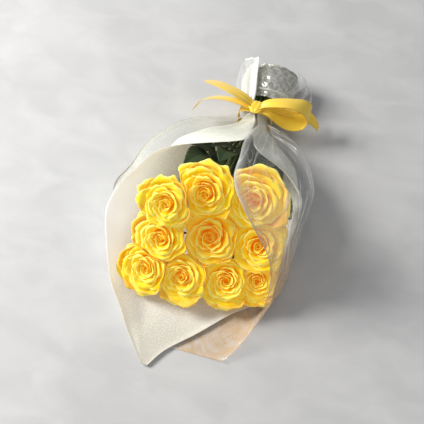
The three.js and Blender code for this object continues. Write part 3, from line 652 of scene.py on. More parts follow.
def buildRibbon():
    look = ribbonFinish
    material, tree, shader = newMaterial("ribbon", Roughness=0.34, Anisotropic=0.6, Sheen_Weight=0.25,
                                         Emission_Strength=look["paintedGlow"])
    uv, across, _ = ownMap(tree)
    weave = noise(tree, stretched(tree, uv, look["weave"]), Scale=1.0, Detail=2.0)
    selvedge = ramp(tree, fromHalf(tree, across), look["selvedge"])
    base = mixColour(tree, weave, look["gold"], look["bright"])
    base = mixColour(tree, times(tree, selvedge, 0.5), base, look["shade"])
    tree.links.new(base, shader.inputs["Base Color"])
    # Painted glow in the ribbon's own colour.
    tree.links.new(base, shader.inputs["Emission Color"])
    addBump(tree, shader, plus(tree, weave, selvedge), 0.3, 0.0003)
    return material


foilFinish = dict(dark=(0.30, 0.30, 0.26, 1), light=(0.74, 0.74, 0.67, 1), mottle=0.006, crumples=110.0)


def buildFoil():
    look = foilFinish
    material, tree, shader = newMaterial("foil", Metallic=0.6)
    coarse, fine = mottled(tree, look["mottle"])
    crumple = addNode(tree, "ShaderNodeTexVoronoi", Scale=look["crumples"], Vector=objectPlace(tree))
    tree.links.new(mixColour(tree, coarse, look["dark"], look["light"]), shader.inputs["Base Color"])
    tree.links.new(ramp(tree, fine, [(0.3, 0.2), (0.7, 0.5)]), shader.inputs["Roughness"])
    addBump(tree, shader, plus(tree, crumple.outputs["Distance"], coarse), 0.8, 0.002)
    return material


petals, leaves, paper, film = buildPetals(), buildLeaves(), buildPaper(), buildFilm()
ribbon, foil = buildRibbon(), buildFoil()
stems, pad, rubber = buildPlain("stems"), buildPlain("pad"), buildPlain("rubber")
print("finishes ready")


# How far out and how high each point of a petal comes, walking from the foot to its reach and leaning as the
# layer says, and the angle that the petal has there.
def petalWalk(layer, lean, roll, reach, length, side):
    radius = np.full(reach.shape, float(flower["footRadius"]))
    height = np.full(reach.shape, float(flower["footHeight"]))
    steps = petalGrid["bendSteps"]
    for i in range(steps):
        t = ((i + 0.5) / steps) * reach / length
        rim = np.maximum(0, t - 0.5) / 0.5
        first = lean[0] + (lean[1] - lean[0]) * smooth(np.minimum(t / 0.5, 1))
        last = lean[1] + (lean[2] + layer["curl"] * side**2 - lean[1]) * rim**2
        rolled = np.clip((t - petalShape["rollFrom"]) / (1 - petalShape["rollFrom"]), 0, 1.3)
        angle = np.radians(np.where(t < 0.5, first, last) + roll * rolled**2)
        radius = radius + np.sin(angle) * reach / steps
        height = height + np.cos(angle) * reach / steps
    return radius, height, angle


# The petals of one layer as grids of points. ring is the layer's place from the outermost, 0, to the bud, 1.
def petalSurfaces(layer, rng, ring, start):
    spread, shape, draws = 360 / layer["count"], petalShape, petalDraws
    u = np.linspace(-1, 1, petalGrid["across"] + 1)[None, :]
    v = np.linspace(0, 1, petalGrid["along"] + 1)[:, None] ** petalGrid["rootCrowding"]
    side = np.abs(u)
    surfaces = []
    for k in range(layer["count"]):
        turn = start + layer["turn"] + k * spread + rng.uniform(-draws["turn"], draws["turn"]) * spread
        turn = math.radians(turn)
        length = layer["length"] * (1 + rng.uniform(-draws["length"], draws["length"]))
        lean = [angle + rng.uniform(-most, most) for angle, most in zip(layer["lean"], draws["lean"])]
        phase, wave = rng.uniform(0, fullTurn), rng.uniform(*draws["wave"]) * (0.35 + 0.65 * (1 - ring))
        notch = rng.uniform(-draws["notch"], draws["notch"])
        reach = v * (1 - shape["corner"] * side**3.2 - shape["edgeWave"] * np.sin(3 * u + phase)) * length
        tip = layer["tip"] * rng.uniform(*draws["tip"])
        reach = reach + tip * np.exp(-(((u - notch) / shape["tipWidth"]) ** 2)) * v**5
        reach = reach + shape["nibble"] * np.sin(9 * u + 3 * phase) * v**6
        radius, height, angle = petalWalk(layer, lean, layer["roll"] * rng.uniform(*draws["roll"]), reach,
                                          length, side)
        widening = np.sin(np.minimum(v / shape["widestAt"], 1) * math.pi / 2)
        half = layer["half"] * (shape["rootWidth"] + (1 - shape["rootWidth"]) * widening)
        bow = np.maximum(radius, shape["leastBow"]) / layer["bend"]
        swing = np.minimum(u * half / bow, shape["mostSwing"])
        tuck = flower["tuck"] * u * (0.5 + 0.5 * min(1, layer["half"] / 12))
        ripple = wave * np.sin(7 * u + phase) * v**4 + 0.5 * wave * np.sin(15 * u + 2 * phase) * v**8
        out = radius - bow * (1 - np.cos(swing)) + tuck * np.cos(angle) + ripple * np.cos(angle)
        height = height - tuck * np.sin(angle) - ripple * np.sin(angle)
        grid = aroundAxis(out, bow * np.sin(swing), height + 0 * u, turn)
        place = np.stack([v + 0 * u, np.full(reach.shape, ring), side + 0 * v], axis=2)
        surfaces.append((grid, place, rng.uniform(0, 1), v))
    return surfaces


def roseName(index):
    return f"rose_{index + 1:02d}"


def buildFlower(index):
    rose, seat = roses[index], seats[index]
    rng = np.random.default_rng(rose["seed"])
    start = rng.uniform(0, 360)
    parts = []
    for n, layer in enumerate(petalLayers):
        for grid, place, tone, v in petalSurfaces(layer, rng, n / (len(petalLayers) - 1), start):
            grid = pressed(placed(grid, seat), index)
            thick = flower["thickness"] + (flower["rimThickness"] - flower["thickness"]) * v
            parts.append(blade(grid, thick + 0 * place[..., 0], place=place, tone=(tone, rose["warmth"], 0)))
    heart = turned(flower["heart"], flower["heartSides"])
    heart["points"] = placed(heart["points"], seat)
    heart["place"], heart["tone"] = (0.1, 0.9, 0), (0, rose["warmth"], 0)
    parts.append(heart)
    declare(meshFrom(roseName(index) + "_petals", parts, petals), roseName(index) + "_bloom")


for index in range(len(roses)):
    buildFlower(index)
print("flowers ready")


# A smooth line through the rows of a table, at the keys wanted.
def smoothTable(keys, rows, wanted):
    keys, rows = np.asarray(keys, float), np.asarray(rows, float)
    shape = (-1, *[1] * (rows.ndim - 1))
    gaps = np.diff(keys).reshape(shape)
    slopes = np.diff(rows, axis=0) / gaps
    middle = (slopes[:-1] * gaps[1:] + slopes[1:] * gaps[:-1]) / (gaps[:-1] + gaps[1:])
    tangents = np.concatenate([slopes[:1], middle, slopes[-1:]])
    place = np.clip(np.searchsorted(keys, wanted, side="right") - 1, 0, len(keys) - 2)
    span = gaps[place]
    t = (wanted - keys[place]).reshape(shape) / span
    return ((2 * t**3 - 3 * t**2 + 1) * rows[place] + (t**3 - 2 * t**2 + t) * span * tangents[place]
            + (3 * t**2 - 2 * t**3) * rows[place + 1] + (t**3 - t**2) * span * tangents[place + 1])


def curvePoints(points, count):
    points = np.asarray(points, float)
    gaps = np.maximum(np.linalg.norm(np.diff(points, axis=0), axis=1), 1e-6)
    steps = np.concatenate([[0], np.cumsum(gaps**0.5)])
    return smoothTable(steps, points, np.linspace(0, steps[-1], count))


def bezier(a, b, c, d, count):
    t = np.linspace(0, 1, count)[:, None]
    return (1 - t) ** 3 * a + 3 * (1 - t) ** 2 * t * b + 3 * (1 - t) * t**2 * c + t**3 * d


# Soft unevenness: a few waves in drawn directions, of about this size, mostly between -1 and 1.
def unevenness(points, size, seed, waves=7):
    rng = np.random.default_rng(seed)
    total = 0
    for _ in range(waves):
        way = unit(rng.normal(size=3)) * 2 * math.pi / (size * rng.uniform(0.7, 1.5))
        total = total + np.sin(points @ way + rng.uniform(0, fullTurn))
    return total / waves**0.5


def tube(path, radii, sides=8):
    tangent = np.gradient(path, axis=0)
    tangent = tangent / np.linalg.norm(tangent, axis=1, keepdims=True)
    side = unit(np.cross(tangent[0], [0.3, 0.2, 1]))
    angle = np.arange(sides)[:, None] * 2 * math.pi / sides
    rings = []
    for point, way, radius in zip(path, tangent, radii):
        side = unit(side - way * (side @ way))
        up = np.cross(way, side)
        rings.append(point + radius * (np.cos(angle) * side + np.sin(angle) * up))
    return dict(points=np.concatenate(rings + [path[:1], path[-1:]]), faces=ringFaces(len(path), sides))


# A stem runs straight through the band from its cut end, bends towards its flower and again at its neck.
stem = dict(
    radius=2.2,
    pitch=5.8,            # between neighbours in the bound bundle
    rows=((1, (-1, 0, 1)), (0, (-1, 0, 1)), (-1, (-1.5, -0.5, 0.5, 1.5))),      # each level, and its stems
    cutEnd=68,            # behind the tie
    straight=8,           # before it
    spread=20,            # how gently a stem leaves the band
    sag=0.72,             # share of the rise to its flower that it takes before the neck
    mainPull=0.4,
    neckFrom=0.78,        # share of the way to the flower
    neckPull=0.12,
    neckBend=12,
    headRoom=8,           # from the top of the stem to the foot of the petals
    headSunk=2,
    points=(12, 26, 14),  # along the straight end, the main bend and the neck
    thornLength=4.2,
    thornRadius=1.3,
    thorns=1600.0,        # for each square metre of bark
    bareFrom=30,          # no thorns nearer the tie than this
)
sepal = dict(count=5, length=21, lengthDraw=(0.85, 1.2), turnDraw=0.3, width=7, leastHalf=0.15, fold=0.25,
             lean=(74, 104, 150), rootRadius=3.6, rootHeight=-1.5, thickness=0.4, points=12, columns=5,
             seed=60)
calyx = ((0.4, -9), (2.4, -9), (3.3, -7.5), (4.6, -5), (5.6, -2.5), (5.9, -0.5), (5.4, 1), (2, 1.5))
bound = [np.array([k * stem["pitch"], 0, level * stem["pitch"]])
         for level, across in stem["rows"] for k in across]

# root is how far along the stem from the tie a leaf grows, tip the end leaflet's tip from the tie.
leafList = [
    dict(stem=0, root=68, tip=(-54, -118, 50), pairs=1, size=39),
    dict(stem=1, root=60, tip=(-14, -110, 63), pairs=1, size=36),
    dict(stem=2, root=60, tip=(32, -112, 54), pairs=1, size=34),
    dict(stem=5, root=56, tip=(56, -100, 34), pairs=0, size=30),
    dict(stem=3, root=80, tip=(-28, -149, 47), pairs=0, size=31),
    dict(stem=5, root=100, tip=(78, -142, 28), pairs=0, size=40),
]
leafShape = dict(
    width=0.78,           # share of its length
    leastHalf=0.25,
    teeth=9,
    toothDepth=0.1,
    columns=8,
    arch=0.09,
    droop=0.1,
    fold=0.22,
    ripple=0.5,
    veins=8,
    veinSlant=2.2,
    veinDepth=0.35,
    thickness=0.35,
    stalkRadius=(1.0, 0.7),
    stalkPoints=12,
    stalkSides=7,
    stalkLift=2,
    stalkSunk=1.5,        # how far the stalk runs into the end leaflet
    pairsAt=(7, 4),       # the stalk's points where the first and second pair grow
    pairLean=0.7,
    pairSize=0.82,        # against the end leaflet
)


def stemPath(index):
    seat = seats[index]
    start = tie + bound[index]
    top = seat["foot"] - seat["axis"] * stem["headRoom"] * seat["scale"]
    bandEnd = start + [0, -stem["straight"], 0]
    span = np.linalg.norm(top - bandEnd)
    way = unit((top - bandEnd) * [1, 1, stem["sag"]]) * span
    neck = bandEnd + way * stem["neckFrom"]
    counts = stem["points"]
    straight = np.linspace(start + [0, stem["cutEnd"], 0], bandEnd, counts[0])
    main = bezier(bandEnd, bandEnd - [0, stem["spread"], 0], bandEnd + way * stem["mainPull"], neck,
                  counts[1])
    end = bezier(neck, neck + way * stem["neckPull"], top - seat["axis"] * stem["neckBend"],
                 top + seat["axis"] * stem["headSunk"], counts[2])
    return np.concatenate([straight, main[1:], end[1:]])


def alongPath(path, distance):
    lengths = np.concatenate([[0], np.cumsum(np.linalg.norm(np.diff(path, axis=0), axis=1))])
    return np.array([np.interp(distance, lengths, path[:, k]) for k in range(3)])


# A cane of even thickness along a line, with thorns standing on it. Lengths are in metres.
def buildCaneTree():
    tree = bpy.data.node_groups.new("canes", "GeometryNodeTree")
    face = tree.interface
    face.new_socket("Geometry", in_out="INPUT", socket_type="NodeSocketGeometry")
    for name, kind, value in (("Radius", "Float", 0.0022), ("Thorns", "Float", 100.0),
                              ("Thorn length", "Float", 0.004), ("Thorn radius", "Float", 0.001),
                              ("Bare from", "Float", 0.0), ("Seed", "Int", 1)):
        face.new_socket(name, in_out="INPUT", socket_type="NodeSocket" + kind).default_value = value
    face.new_socket("Finish", in_out="INPUT", socket_type="NodeSocketMaterial")
    face.new_socket("Geometry", in_out="OUTPUT", socket_type="NodeSocketGeometry")
    new = tree.nodes.new
    given, result = new("NodeGroupInput"), new("NodeGroupOutput")
    curve, ring = new("GeometryNodeMeshToCurve"), new("GeometryNodeCurvePrimitiveCircle")
    sweep = new("GeometryNodeCurveToMesh")
    place, split = new("GeometryNodeInputPosition"), new("ShaderNodeSeparateXYZ")
    free, scatter = new("FunctionNodeCompare"), new("GeometryNodeDistributePointsOnFaces")
    thorn, stand = new("GeometryNodeMeshCone"), new("GeometryNodeInstanceOnPoints")
    joined, real = new("GeometryNodeJoinGeometry"), new("GeometryNodeRealizeInstances")
    soft, finish = new("GeometryNodeSetShadeSmooth"), new("GeometryNodeSetMaterial")
    ring.inputs["Resolution"].default_value = 10
    sweep.inputs["Fill Caps"].default_value = True
    free.operation = "LESS_THAN"
    thorn.inputs["Vertices"].default_value = 6
    thorn.inputs["Radius Top"].default_value = 0.0001
    for source, output, target, socket in (
            (given, "Geometry", curve, "Mesh"), (given, "Radius", ring, "Radius"),
            (curve, "Curve", sweep, "Curve"), (ring, "Curve", sweep, "Profile Curve"),
            (place, "Position", split, "Vector"), (split, "Y", free, "A"), (given, "Bare from", free, "B"),
            (sweep, "Mesh", scatter, "Mesh"), (free, "Result", scatter, "Selection"),
            (given, "Thorns", scatter, "Density"), (given, "Seed", scatter, "Seed"),
            (given, "Thorn radius", thorn, "Radius Bottom"), (given, "Thorn length", thorn, "Depth"),
            (scatter, "Points", stand, "Points"), (thorn, "Mesh", stand, "Instance"),
            (scatter, "Rotation", stand, "Rotation"), (stand, "Instances", joined, "Geometry"),
            (sweep, "Mesh", joined, "Geometry"), (joined, "Geometry", real, "Geometry"),
            (real, "Geometry", soft, "Geometry"), (soft, "Geometry", finish, "Geometry"),
            (given, "Finish", finish, "Material"), (finish, "Geometry", result, "Geometry")):
        tree.links.new(source.outputs[output], target.inputs[socket])
    return tree


caneTree = buildCaneTree()


# Runs a tree on a line and gives the result as a plain mesh object.
def grown(name, tree, line, **values):
    start = addObject(name + "_line", line)
    modifier = start.modifiers.new("grow", "NODES")
    modifier.node_group = tree
    for socket in tree.interface.items_tree:
        key = socket.name.replace(" ", "_")
        if socket.in_out == "INPUT" and key in values:
            modifier[socket.identifier] = values[key]
    bpy.context.view_layer.update()
    depsgraph = bpy.context.evaluated_depsgraph_get()
    made = bpy.data.meshes.new_from_object(start.evaluated_get(depsgraph), depsgraph=depsgraph)
    bpy.data.objects.remove(start)
    made.name = name
    return addObject(name, made)


# One leaflet with a toothed edge, four rows of points to a tooth, folded up along its rib.
def leaflet(base, tip, facing):
    shape, way = leafShape, tip - base
    long = np.linalg.norm(way)
    way = way / long
    across = unit(np.cross(way, facing))
    up = np.cross(across, way)
    rows = 4 * shape["teeth"]
    t = np.linspace(0, 1, rows + 1)[:, None]
    side = np.linspace(-1, 1, shape["columns"] + 1)[None, :]
    saw = (np.arange(rows + 1) % 4 / 4)[:, None]
    edge = 1 - shape["toothDepth"] * (1 - saw) * np.abs(side) ** 4
    swell = np.sin(math.pi * np.minimum(0.985, 0.03 + 0.97 * t**0.85)) ** 0.8
    half = shape["width"] / 2 * long * swell * edge + shape["leastHalf"]
    lift = shape["arch"] * long * np.sin(math.pi * t) - shape["droop"] * long * t * t
    lift = lift + np.abs(side) * shape["fold"] * half + shape["ripple"] * np.sin(9 * t + 2) * np.abs(side)
    veins = np.abs(((t * shape["veins"] - np.abs(side) * shape["veinSlant"]) % 1) - 0.5)
    lift = lift + shape["veinDepth"] * veins
    grid = base + way * long * t[..., None] + across * (side * half)[..., None] + up * lift[..., None]
    part = blade(grid, shape["thickness"] + 0 * side * t)
    part["under"] = np.repeat([[0.0, 0, 0], [1.0, 0, 0]], len(part["points"]) // 2, axis=0)
    return part


# A stalk with a leaflet at its end and pairs of leaflets beside it.
def leafOn(leaf):
    shape = leafShape
    root = alongPath(stemPath(leaf["stem"]), stem["cutEnd"] + leaf["root"])
    end = tie + np.array(leaf["tip"], float)
    way = unit(end - root)
    side = unit(np.cross(way, [0, 0, 1]))
    facing = np.cross(side, way)
    neck = end - way * leaf["size"]
    bend = (root + neck) / 2 + facing * shape["stalkLift"]
    t = np.linspace(0, 1, shape["stalkPoints"])[:, None]
    stalk = (1 - t) ** 2 * root + 2 * (1 - t) * t * bend + t**2 * (neck + way * shape["stalkSunk"])
    stalkPart = tube(stalk, np.linspace(*shape["stalkRadius"], shape["stalkPoints"]), shape["stalkSides"])
    parts = [dict(stalkPart, under=(0.3, 0, 0)), leaflet(neck, end, facing)]
    for hand in (-1, 1):
        for k in shape["pairsAt"][:leaf["pairs"]]:
            out = unit(way * shape["pairLean"] + side * hand)
            parts.append(leaflet(stalk[k], stalk[k] + out * leaf["size"] * shape["pairSize"], facing))
    return parts


# The sepals under a flower, and the cup that they grow from.
def sepalsOf(index):
    seat, rng = seats[index], np.random.default_rng(roses[index]["seed"] + sepal["seed"])
    parts = []
    for k in range(sepal["count"]):
        turn = math.radians(360 / sepal["count"] * (k + sepal["turnDraw"] * rng.uniform()))
        long = sepal["length"] * rng.uniform(*sepal["lengthDraw"])
        t = np.linspace(0, 1, sepal["points"])
        angle = np.radians(np.interp(t, (0, 0.5, 1), sepal["lean"]))
        steps = sepal["points"] - 1
        radius = sepal["rootRadius"] + np.concatenate([[0], np.cumsum(np.sin(angle[:-1]) * long / steps)])
        height = sepal["rootHeight"] + np.concatenate([[0], np.cumsum(np.cos(angle[:-1]) * long / steps)])
        half = sepal["width"] / 2 * (1 - t**1.6) * (0.75 + 0.25 * np.cos(4 * t)) + sepal["leastHalf"]
        side = np.linspace(-1, 1, sepal["columns"])
        lift = height[:, None] + sepal["fold"] * half[:, None] * np.abs(side)
        grid = aroundAxis(radius[:, None] + 0 * side, half[:, None] * side, lift, turn)
        parts.append(dict(blade(pressed(placed(grid, seat), index), sepal["thickness"]), under=(0.25, 0, 0)))
    cup = turned(calyx, flower["heartSides"])
    cup["points"] = placed(cup["points"], seat)
    cup["under"] = (0.3, 0, 0)
    return parts + [cup]


def buildStem(index):
    name = roseName(index)
    line = bpy.data.meshes.new(name + "_line")
    path = stemPath(index) * mm
    line.from_pydata(path.tolist(), [(k, k + 1) for k in range(len(path) - 1)], [])
    cane = grown(name + "_cane", caneTree, line, Radius=stem["radius"] * mm, Thorns=stem["thorns"],
                 Thorn_length=stem["thornLength"] * mm, Thorn_radius=stem["thornRadius"] * mm,
                 Bare_from=float(tie[1] - stem["bareFrom"]) * mm, Seed=roses[index]["seed"], Finish=stems)
    greens = sepalsOf(index)
    for leaf in leafList:
        if leaf["stem"] == index:
            greens += leafOn(leaf)
    green = meshFrom(name + "_leaves", greens, leaves)
    outward(green)
    for piece in (cane, green):
        declare(piece, name + "_stem")


for index in range(len(roses)):
    buildStem(index)
print("stems and leaves ready")


# The rubber band's turns round the bundle. corners are the stems that it bends round, and where each bend
# starts.
band = dict(
    turns=3,
    cordRadius=0.75,
    cordOut=2.9,          # from a corner stem's middle to the cord's inner side
    rise=1.7,             # along the stems with each turn
    corners=((9, -90), (2, 0), (0, 90), (6, 180)),
    bendAngles=(0, 22, 45, 68, 90),
    points=60,
)

# The wet pad on the cut ends and the foil pouch round it, from the tie towards the ends.
foot = dict(
    right=7,              # how far their middle lies right of the tie
    padFrom=34,
    padTo=75,
    padWide=31,           # half its width
    padHigh=17.5,         # half its height
    padSkin=1.2,
    padCrumple=0.9,
    pouchFrom=28,
    pouchTo=80,
    pouchRoom=1.4,
    pouchWall=0.5,
    pouchCrumple=1.1,
    creaseSizes=(13, 6),  # large and small
    smallShare=0.6,
    pleats=9,             # round the mouth, and how far they run in from it
    pleatLength=16,
)


def buildBand():
    out = band["cordOut"] + band["cordRadius"]
    ring = []
    for k, start in band["corners"]:
        for turn in band["bendAngles"]:
            angle = math.radians(start + turn)
            ring.append(bound[k] + [out * math.cos(angle), 0, out * math.sin(angle)])
    ring = curvePoints(ring + ring[:1], band["points"])[:-1]
    climb = np.linspace(0, band["rise"], len(ring))[:, None] * [0, 1, 0]
    path = np.concatenate([ring + [0, (k - 1) * band["rise"], 0] + climb for k in range(band["turns"])])
    path = path - [0, band["rise"] / 2, 0]
    cord = tube(tie + path, [band["cordRadius"]] * len(path))
    closedPiece("stem_band_turns", cord, rubber, "stem_band")


# An oval skin along Y: profile gives pairs of share of the width and place along, and crumple is how deep
# its creases are.
def ovalSkin(profile, wide, high, crumple, seed, rows=90, sides=132):
    places = np.linspace(profile[0][1], profile[-1][1], rows)
    share = smoothTable([y for _, y in profile], [[part] for part, _ in profile], places)
    along = places[:, None]
    angle = (np.arange(sides) * 2 * math.pi / sides)[None, :]
    grid = np.stack([foot["right"] + wide * share * np.cos(angle), along + 0 * angle,
                     high * share * np.sin(angle)], axis=2)
    large, small = foot["creaseSizes"]
    fold = np.abs(unevenness(grid, large, seed))
    fold = fold + foot["smallShare"] * np.abs(unevenness(grid, small, seed + 1))
    pleats = np.sin(angle * foot["pleats"] + 1.5 * np.sin(along / 7) + seed)
    mouth = np.clip((profile[0][1] + foot["pleatLength"] - along) / foot["pleatLength"], 0, 1)
    inwards = crumple * (0.62 * fold + 0.3 * (1 + pleats) * mouth)
    flat = 0 * angle + 0 * along
    return grid - np.stack([np.cos(angle) + flat, flat, np.sin(angle) + flat], axis=2) * inwards[..., None]


def buildPouch():
    low, high, room = foot["pouchFrom"], foot["pouchTo"], foot["pouchRoom"]
    profile = ((0.76, low), (0.82, low + 6), (1, foot["padFrom"] + 14), (1, foot["padTo"] - 7),
               (0.8, high - 3), (0.6, high - 0.6), (0.02, high))
    grid = ovalSkin(profile, foot["padWide"] + room, foot["padHigh"] + room, foot["pouchCrumple"], 3)
    skin = blade(tie + grid, foot["pouchWall"], loops=True)
    closedPiece("foil_pouch_skin", skin, foil, "foil_pouch")


def buildPad():
    low, high, skin = foot["padFrom"], foot["padTo"], foot["padSkin"]
    profile = ((0.02, low), (0.62, low + 0.6), (0.78, low + 5), (1, low + 14), (1, high - 8),
               (0.75, high - 2), (0.02, high))
    grid = ovalSkin(profile, foot["padWide"] - skin, foot["padHigh"] - skin, foot["padCrumple"], 5, 60, 96)
    closedPiece("wet_pad_wad", blade(tie + grid, skin, loops=True), pad, "wet_pad")


buildBand()
buildPouch()
buildPad()
print("foot ready")


# A place along Y from the tie, then pairs of across and height above the floor from the left edge to the
# right.
paperRows = [
    (74, (-16, 46), (-26, 37), (-31, 20), (-22, 4), (6, 3), (28, 4), (38, 7)),
    (70, (-15, 46.5), (-26, 37), (-31, 20), (-22, 4), (6, 3), (28, 4), (40, 8)),
    (50, (-11, 46.5), (-26, 37), (-31, 22), (-21, 4), (6, 3), (28, 4), (40, 9)),
    (30, (-7, 44.5), (-21, 37), (-25, 22), (-17, 5.5), (4, 4.5), (22, 6), (34, 14)),
    (9, (-5, 38.5), (-15.5, 29), (-12.5, 13.5), (0, 12), (12.5, 13.5), (15.5, 29), (6, 38.5)),
    (-9, (2, 40.5), (-15.5, 29), (-12.5, 13.5), (0, 12), (12.5, 13.5), (15.5, 29), (3, 38)),
    (-40, (8, 62), (-34, 46), (-29, 14), (0, 5), (27, 11), (40, 34), (6, 57.5)),
    (-65, (10, 82.5), (-55, 61.5), (-42.5, 9.6), (0, 3.2), (42, 9.6), (62, 42), (12, 77)),
    (-82, (0, 89.5), (-77, 59.5), (-52.5, 8), (0, 2.6), (51, 8), (73, 42), (22, 81)),
    (-100, (-67, 79), (-93, 46.5), (-62, 6), (0, 2), (60, 6), (82, 36), (66, 66)),
    (-135, (-108, 66), (-99, 36), (-70, 4.6), (0, 2), (62, 4.4), (84, 28), (85, 50)),
    (-165, (-121, 62), (-103, 32), (-72, 4), (0, 2), (60, 3), (80, 16), (83, 36)),
    (-195, (-125, 55), (-104, 28), (-73, 3), (0, 2), (58, 2), (73, 2.8), (82, 10)),
    (-225, (-115, 43), (-99, 23), (-73, 3), (-4, 2), (50, 2), (66, 2.4), (74, 4.5)),
    (-257, (-101, 28), (-89, 13), (-67, 3), (-24, 2), (16, 2.2), (32, 3), (40, 5)),
    (-290, (-77, 14), (-69, 7), (-55, 2.6), (-36, 2), (-14, 2), (2, 2.4), (10, 4)),
    (-317, (-56.5, 6), (-52, 3.4), (-46, 2.6), (-38, 2.2), (-30, 2.2), (-22, 2.6), (-17, 3.6)),
    (-339, (-37.5, 3.6), (-36.5, 3.2), (-35.5, 2.8), (-34, 2.6), (-32.5, 2.6), (-31.5, 2.8), (-30.5, 3.2)),
]
filmNeck = ((-6, 42.5), (-18.4, 32), (-14.5, 10.6), (0, 9), (14.5, 10.6), (18.8, 22), (18.4, 33), (13.5, 40),
            (6, 42.5))
filmRows = [
    (80, (-17, 49), (-35, 37), (-27, 1.5), (2, 0.6), (22, 1), (38, 4), (48, 12), (46, 24), (36, 36)),
    (70, (-15, 50.5), (-37, 37), (-27, 1.5), (2, 0.5), (26, 0.8), (44, 5), (54, 15), (50, 32), (38, 45)),
    (50, (-11, 50.5), (-37, 37), (-26, 1.6), (2, 0.6), (26, 0.8), (48, 6), (61, 15), (55, 33), (40, 47)),
    (30, (-7, 48.5), (-31, 37), (-22, 2.5), (0, 1.5), (20, 2), (38, 8), (49, 20), (42, 36), (28, 47)),
    (9, *filmNeck),
    (-9, *filmNeck),
    (-40, (-50, 64), (-48, 42), (-34, 6), (0, 1.6), (34, 6), (54, 26), (60, 48), (40, 66), (12, 70)),
    (-65, (-80, 73), (-76, 44), (-52, 4.4), (0, 0.6), (50, 4.4), (74, 28), (81, 56), (56, 82), (10, 90)),
    (-82, (-92, 74), (-89, 44), (-60, 3), (0, 0.4), (58, 3), (83, 28), (88, 62), (62, 94), (10, 105)),
    (-100, (-104, 73), (-101, 44), (-68, 2), (0, 0.4), (66, 2), (90, 30), (94, 66), (72, 102), (10, 118)),
    (-135, (-115, 68), (-106, 36), (-76, 1), (0, 0.4), (70, 1), (92, 30), (96, 70), (84, 115), (14, 140)),
    (-165, (-125, 64), (-110, 32), (-78, 0.8), (0, 0.4), (70, 0.8), (90, 24), (95, 68), (88, 114), (16, 142)),
    (-195, (-116, 39), (-108, 26), (-78, 0.6), (0, 0.4), (74, 0.6), (90, 14), (94, 56), (86, 108), (34, 139)),
    (-225, (-108, 29), (-101, 18), (-76, 0.6), (0, 0.4), (70, 0.8), (85, 10), (90, 42), (88, 72), (72, 95)),
    (-257, (-89, 8.6), (-81, 4.6), (-62, 0.6), (-10, 0.4), (34, 0.4), (58, 2), (72, 11), (78, 26), (77, 46)),
    (-285, (-66, 2.4), (-60, 1), (-46, 0.4), (-16, 0.4), (14, 0.4), (38, 0.6), (53, 2), (62, 7), (65, 14)),
    (-311, (-44, 1), (-38, 0.6), (-30, 0.4), (-16, 0.4), (-2, 0.4), (12, 0.4), (26, 0.6), (40, 1.4), (48, 3)),
]

# floor is how high the sheet lies, across and along count its points, and flat is what it was cut to, in
# metres.
paperSheet = dict(thickness=0.25, floor=1.9, across=72, along=150, pleats=9, pleatDepth=1.1, wave=0.7,
                  seed=31, flat=(0.35, 0.42))
filmSheet = dict(thickness=0.15, floor=0.25, across=120, along=170, pleats=17, pleatDepth=1.3, wave=0.5,
                 seed=41, flat=(0.43, 0.40))
# Both sheets are gathered alike. Lengths are along Y from the tie.
sheetFolds = dict(
    rim=0.009,            # the cut edge that catches the light, as a share of the sheet
    pleatFrom=8,
    pleatRise=30,
    pleatTo=34,           # from here the pleats run out over pleatFade
    pleatFade=55,
    pleatWander=0.9,
    wanderSize=160,
    waveFrom=12,
    waveRise=40,
    waveSize=48,
    flatHeight=10,        # a sheet lower than this lies calm on the floor
)


# The rows as a smooth surface, gathered into pleats near the tie and rippled away from it.
def wrapGrid(rows, sheet):
    lines = [curvePoints([(x, y, z) for x, z in points], sheet["across"] + 1) for y, *points in rows]
    keys = [-y for y, *_ in rows]
    grid = smoothTable(keys, lines, np.linspace(keys[0], keys[-1], sheet["along"] + 1))
    normal = gridNormals(grid)
    away = np.abs(grid[..., 1])
    u = np.linspace(0, 1, grid.shape[1])[None, :]
    folds = sheetFolds
    gather = np.clip((away - folds["pleatFrom"]) / folds["pleatRise"], 0, 1)
    gather = gather * np.exp(-np.maximum(away - folds["pleatTo"], 0) / folds["pleatFade"])
    phase = folds["pleatWander"] * unevenness(grid, folds["wanderSize"], sheet["seed"])
    depth = sheet["pleatDepth"] * gather * np.sin(u * 2 * math.pi * sheet["pleats"] + phase)
    loose = np.clip((away - folds["waveFrom"]) / folds["waveRise"], 0, 1)
    loose = loose * np.clip(grid[..., 2] / folds["flatHeight"], 0.1, 1)
    depth = depth + sheet["wave"] * loose * unevenness(grid, folds["waveSize"], sheet["seed"] + 1)
    grid = grid + normal * depth[..., None]
    grid[..., 2] = np.maximum(grid[..., 2], sheet["floor"] + 0.1 * (grid[..., 2] < 0))
    grid += [tie[0], tie[1], 0]
    return grid


def buildWrap(name, rows, sheet, finish):
    grid = wrapGrid(rows, sheet)
    u = np.linspace(0, 1, grid.shape[1])[None, :, None]
    v = np.linspace(0, 1, grid.shape[0])[:, None, None]
    rim = np.minimum(np.minimum(u, 1 - u) * 0.5, np.minimum(v, 1 - v))
    edge = np.clip(1 - rim / sheetFolds["rim"], 0, 1)
    piece = meshFrom(name + "_sheet", [blade(grid, sheet["thickness"], edge=edge)], finish)
    declare(piece, name + "_wrap")


buildWrap("paper", paperRows, paperSheet, paper)
buildWrap("film", filmRows, filmSheet, film)
print("wraps ready")


ribbonSize = dict(
    width=24,
    thickness=0.3,
    bandWide=21.8,        # half the width of the band round the neck, and its reach below and above the tie
    bandLow=18,
    bandHigh=20,
    bandAlong=10,
    squareness=0.7,       # 1 is an oval, less is squarer
    pleats=26,
    pleatDepth=0.45,
    gatherDepth=1.5,      # where a strip is drawn in near the knot
    gatherWaves=7,
    cupping=0.06,
    stripColumns=16,
    stripSteps=12,        # to each row of a strip's table
    knotAt=(0, 0, 24.6),
    knotSize=(8.5, 9, 3.6),
    knotPoints=(48, 20),
)

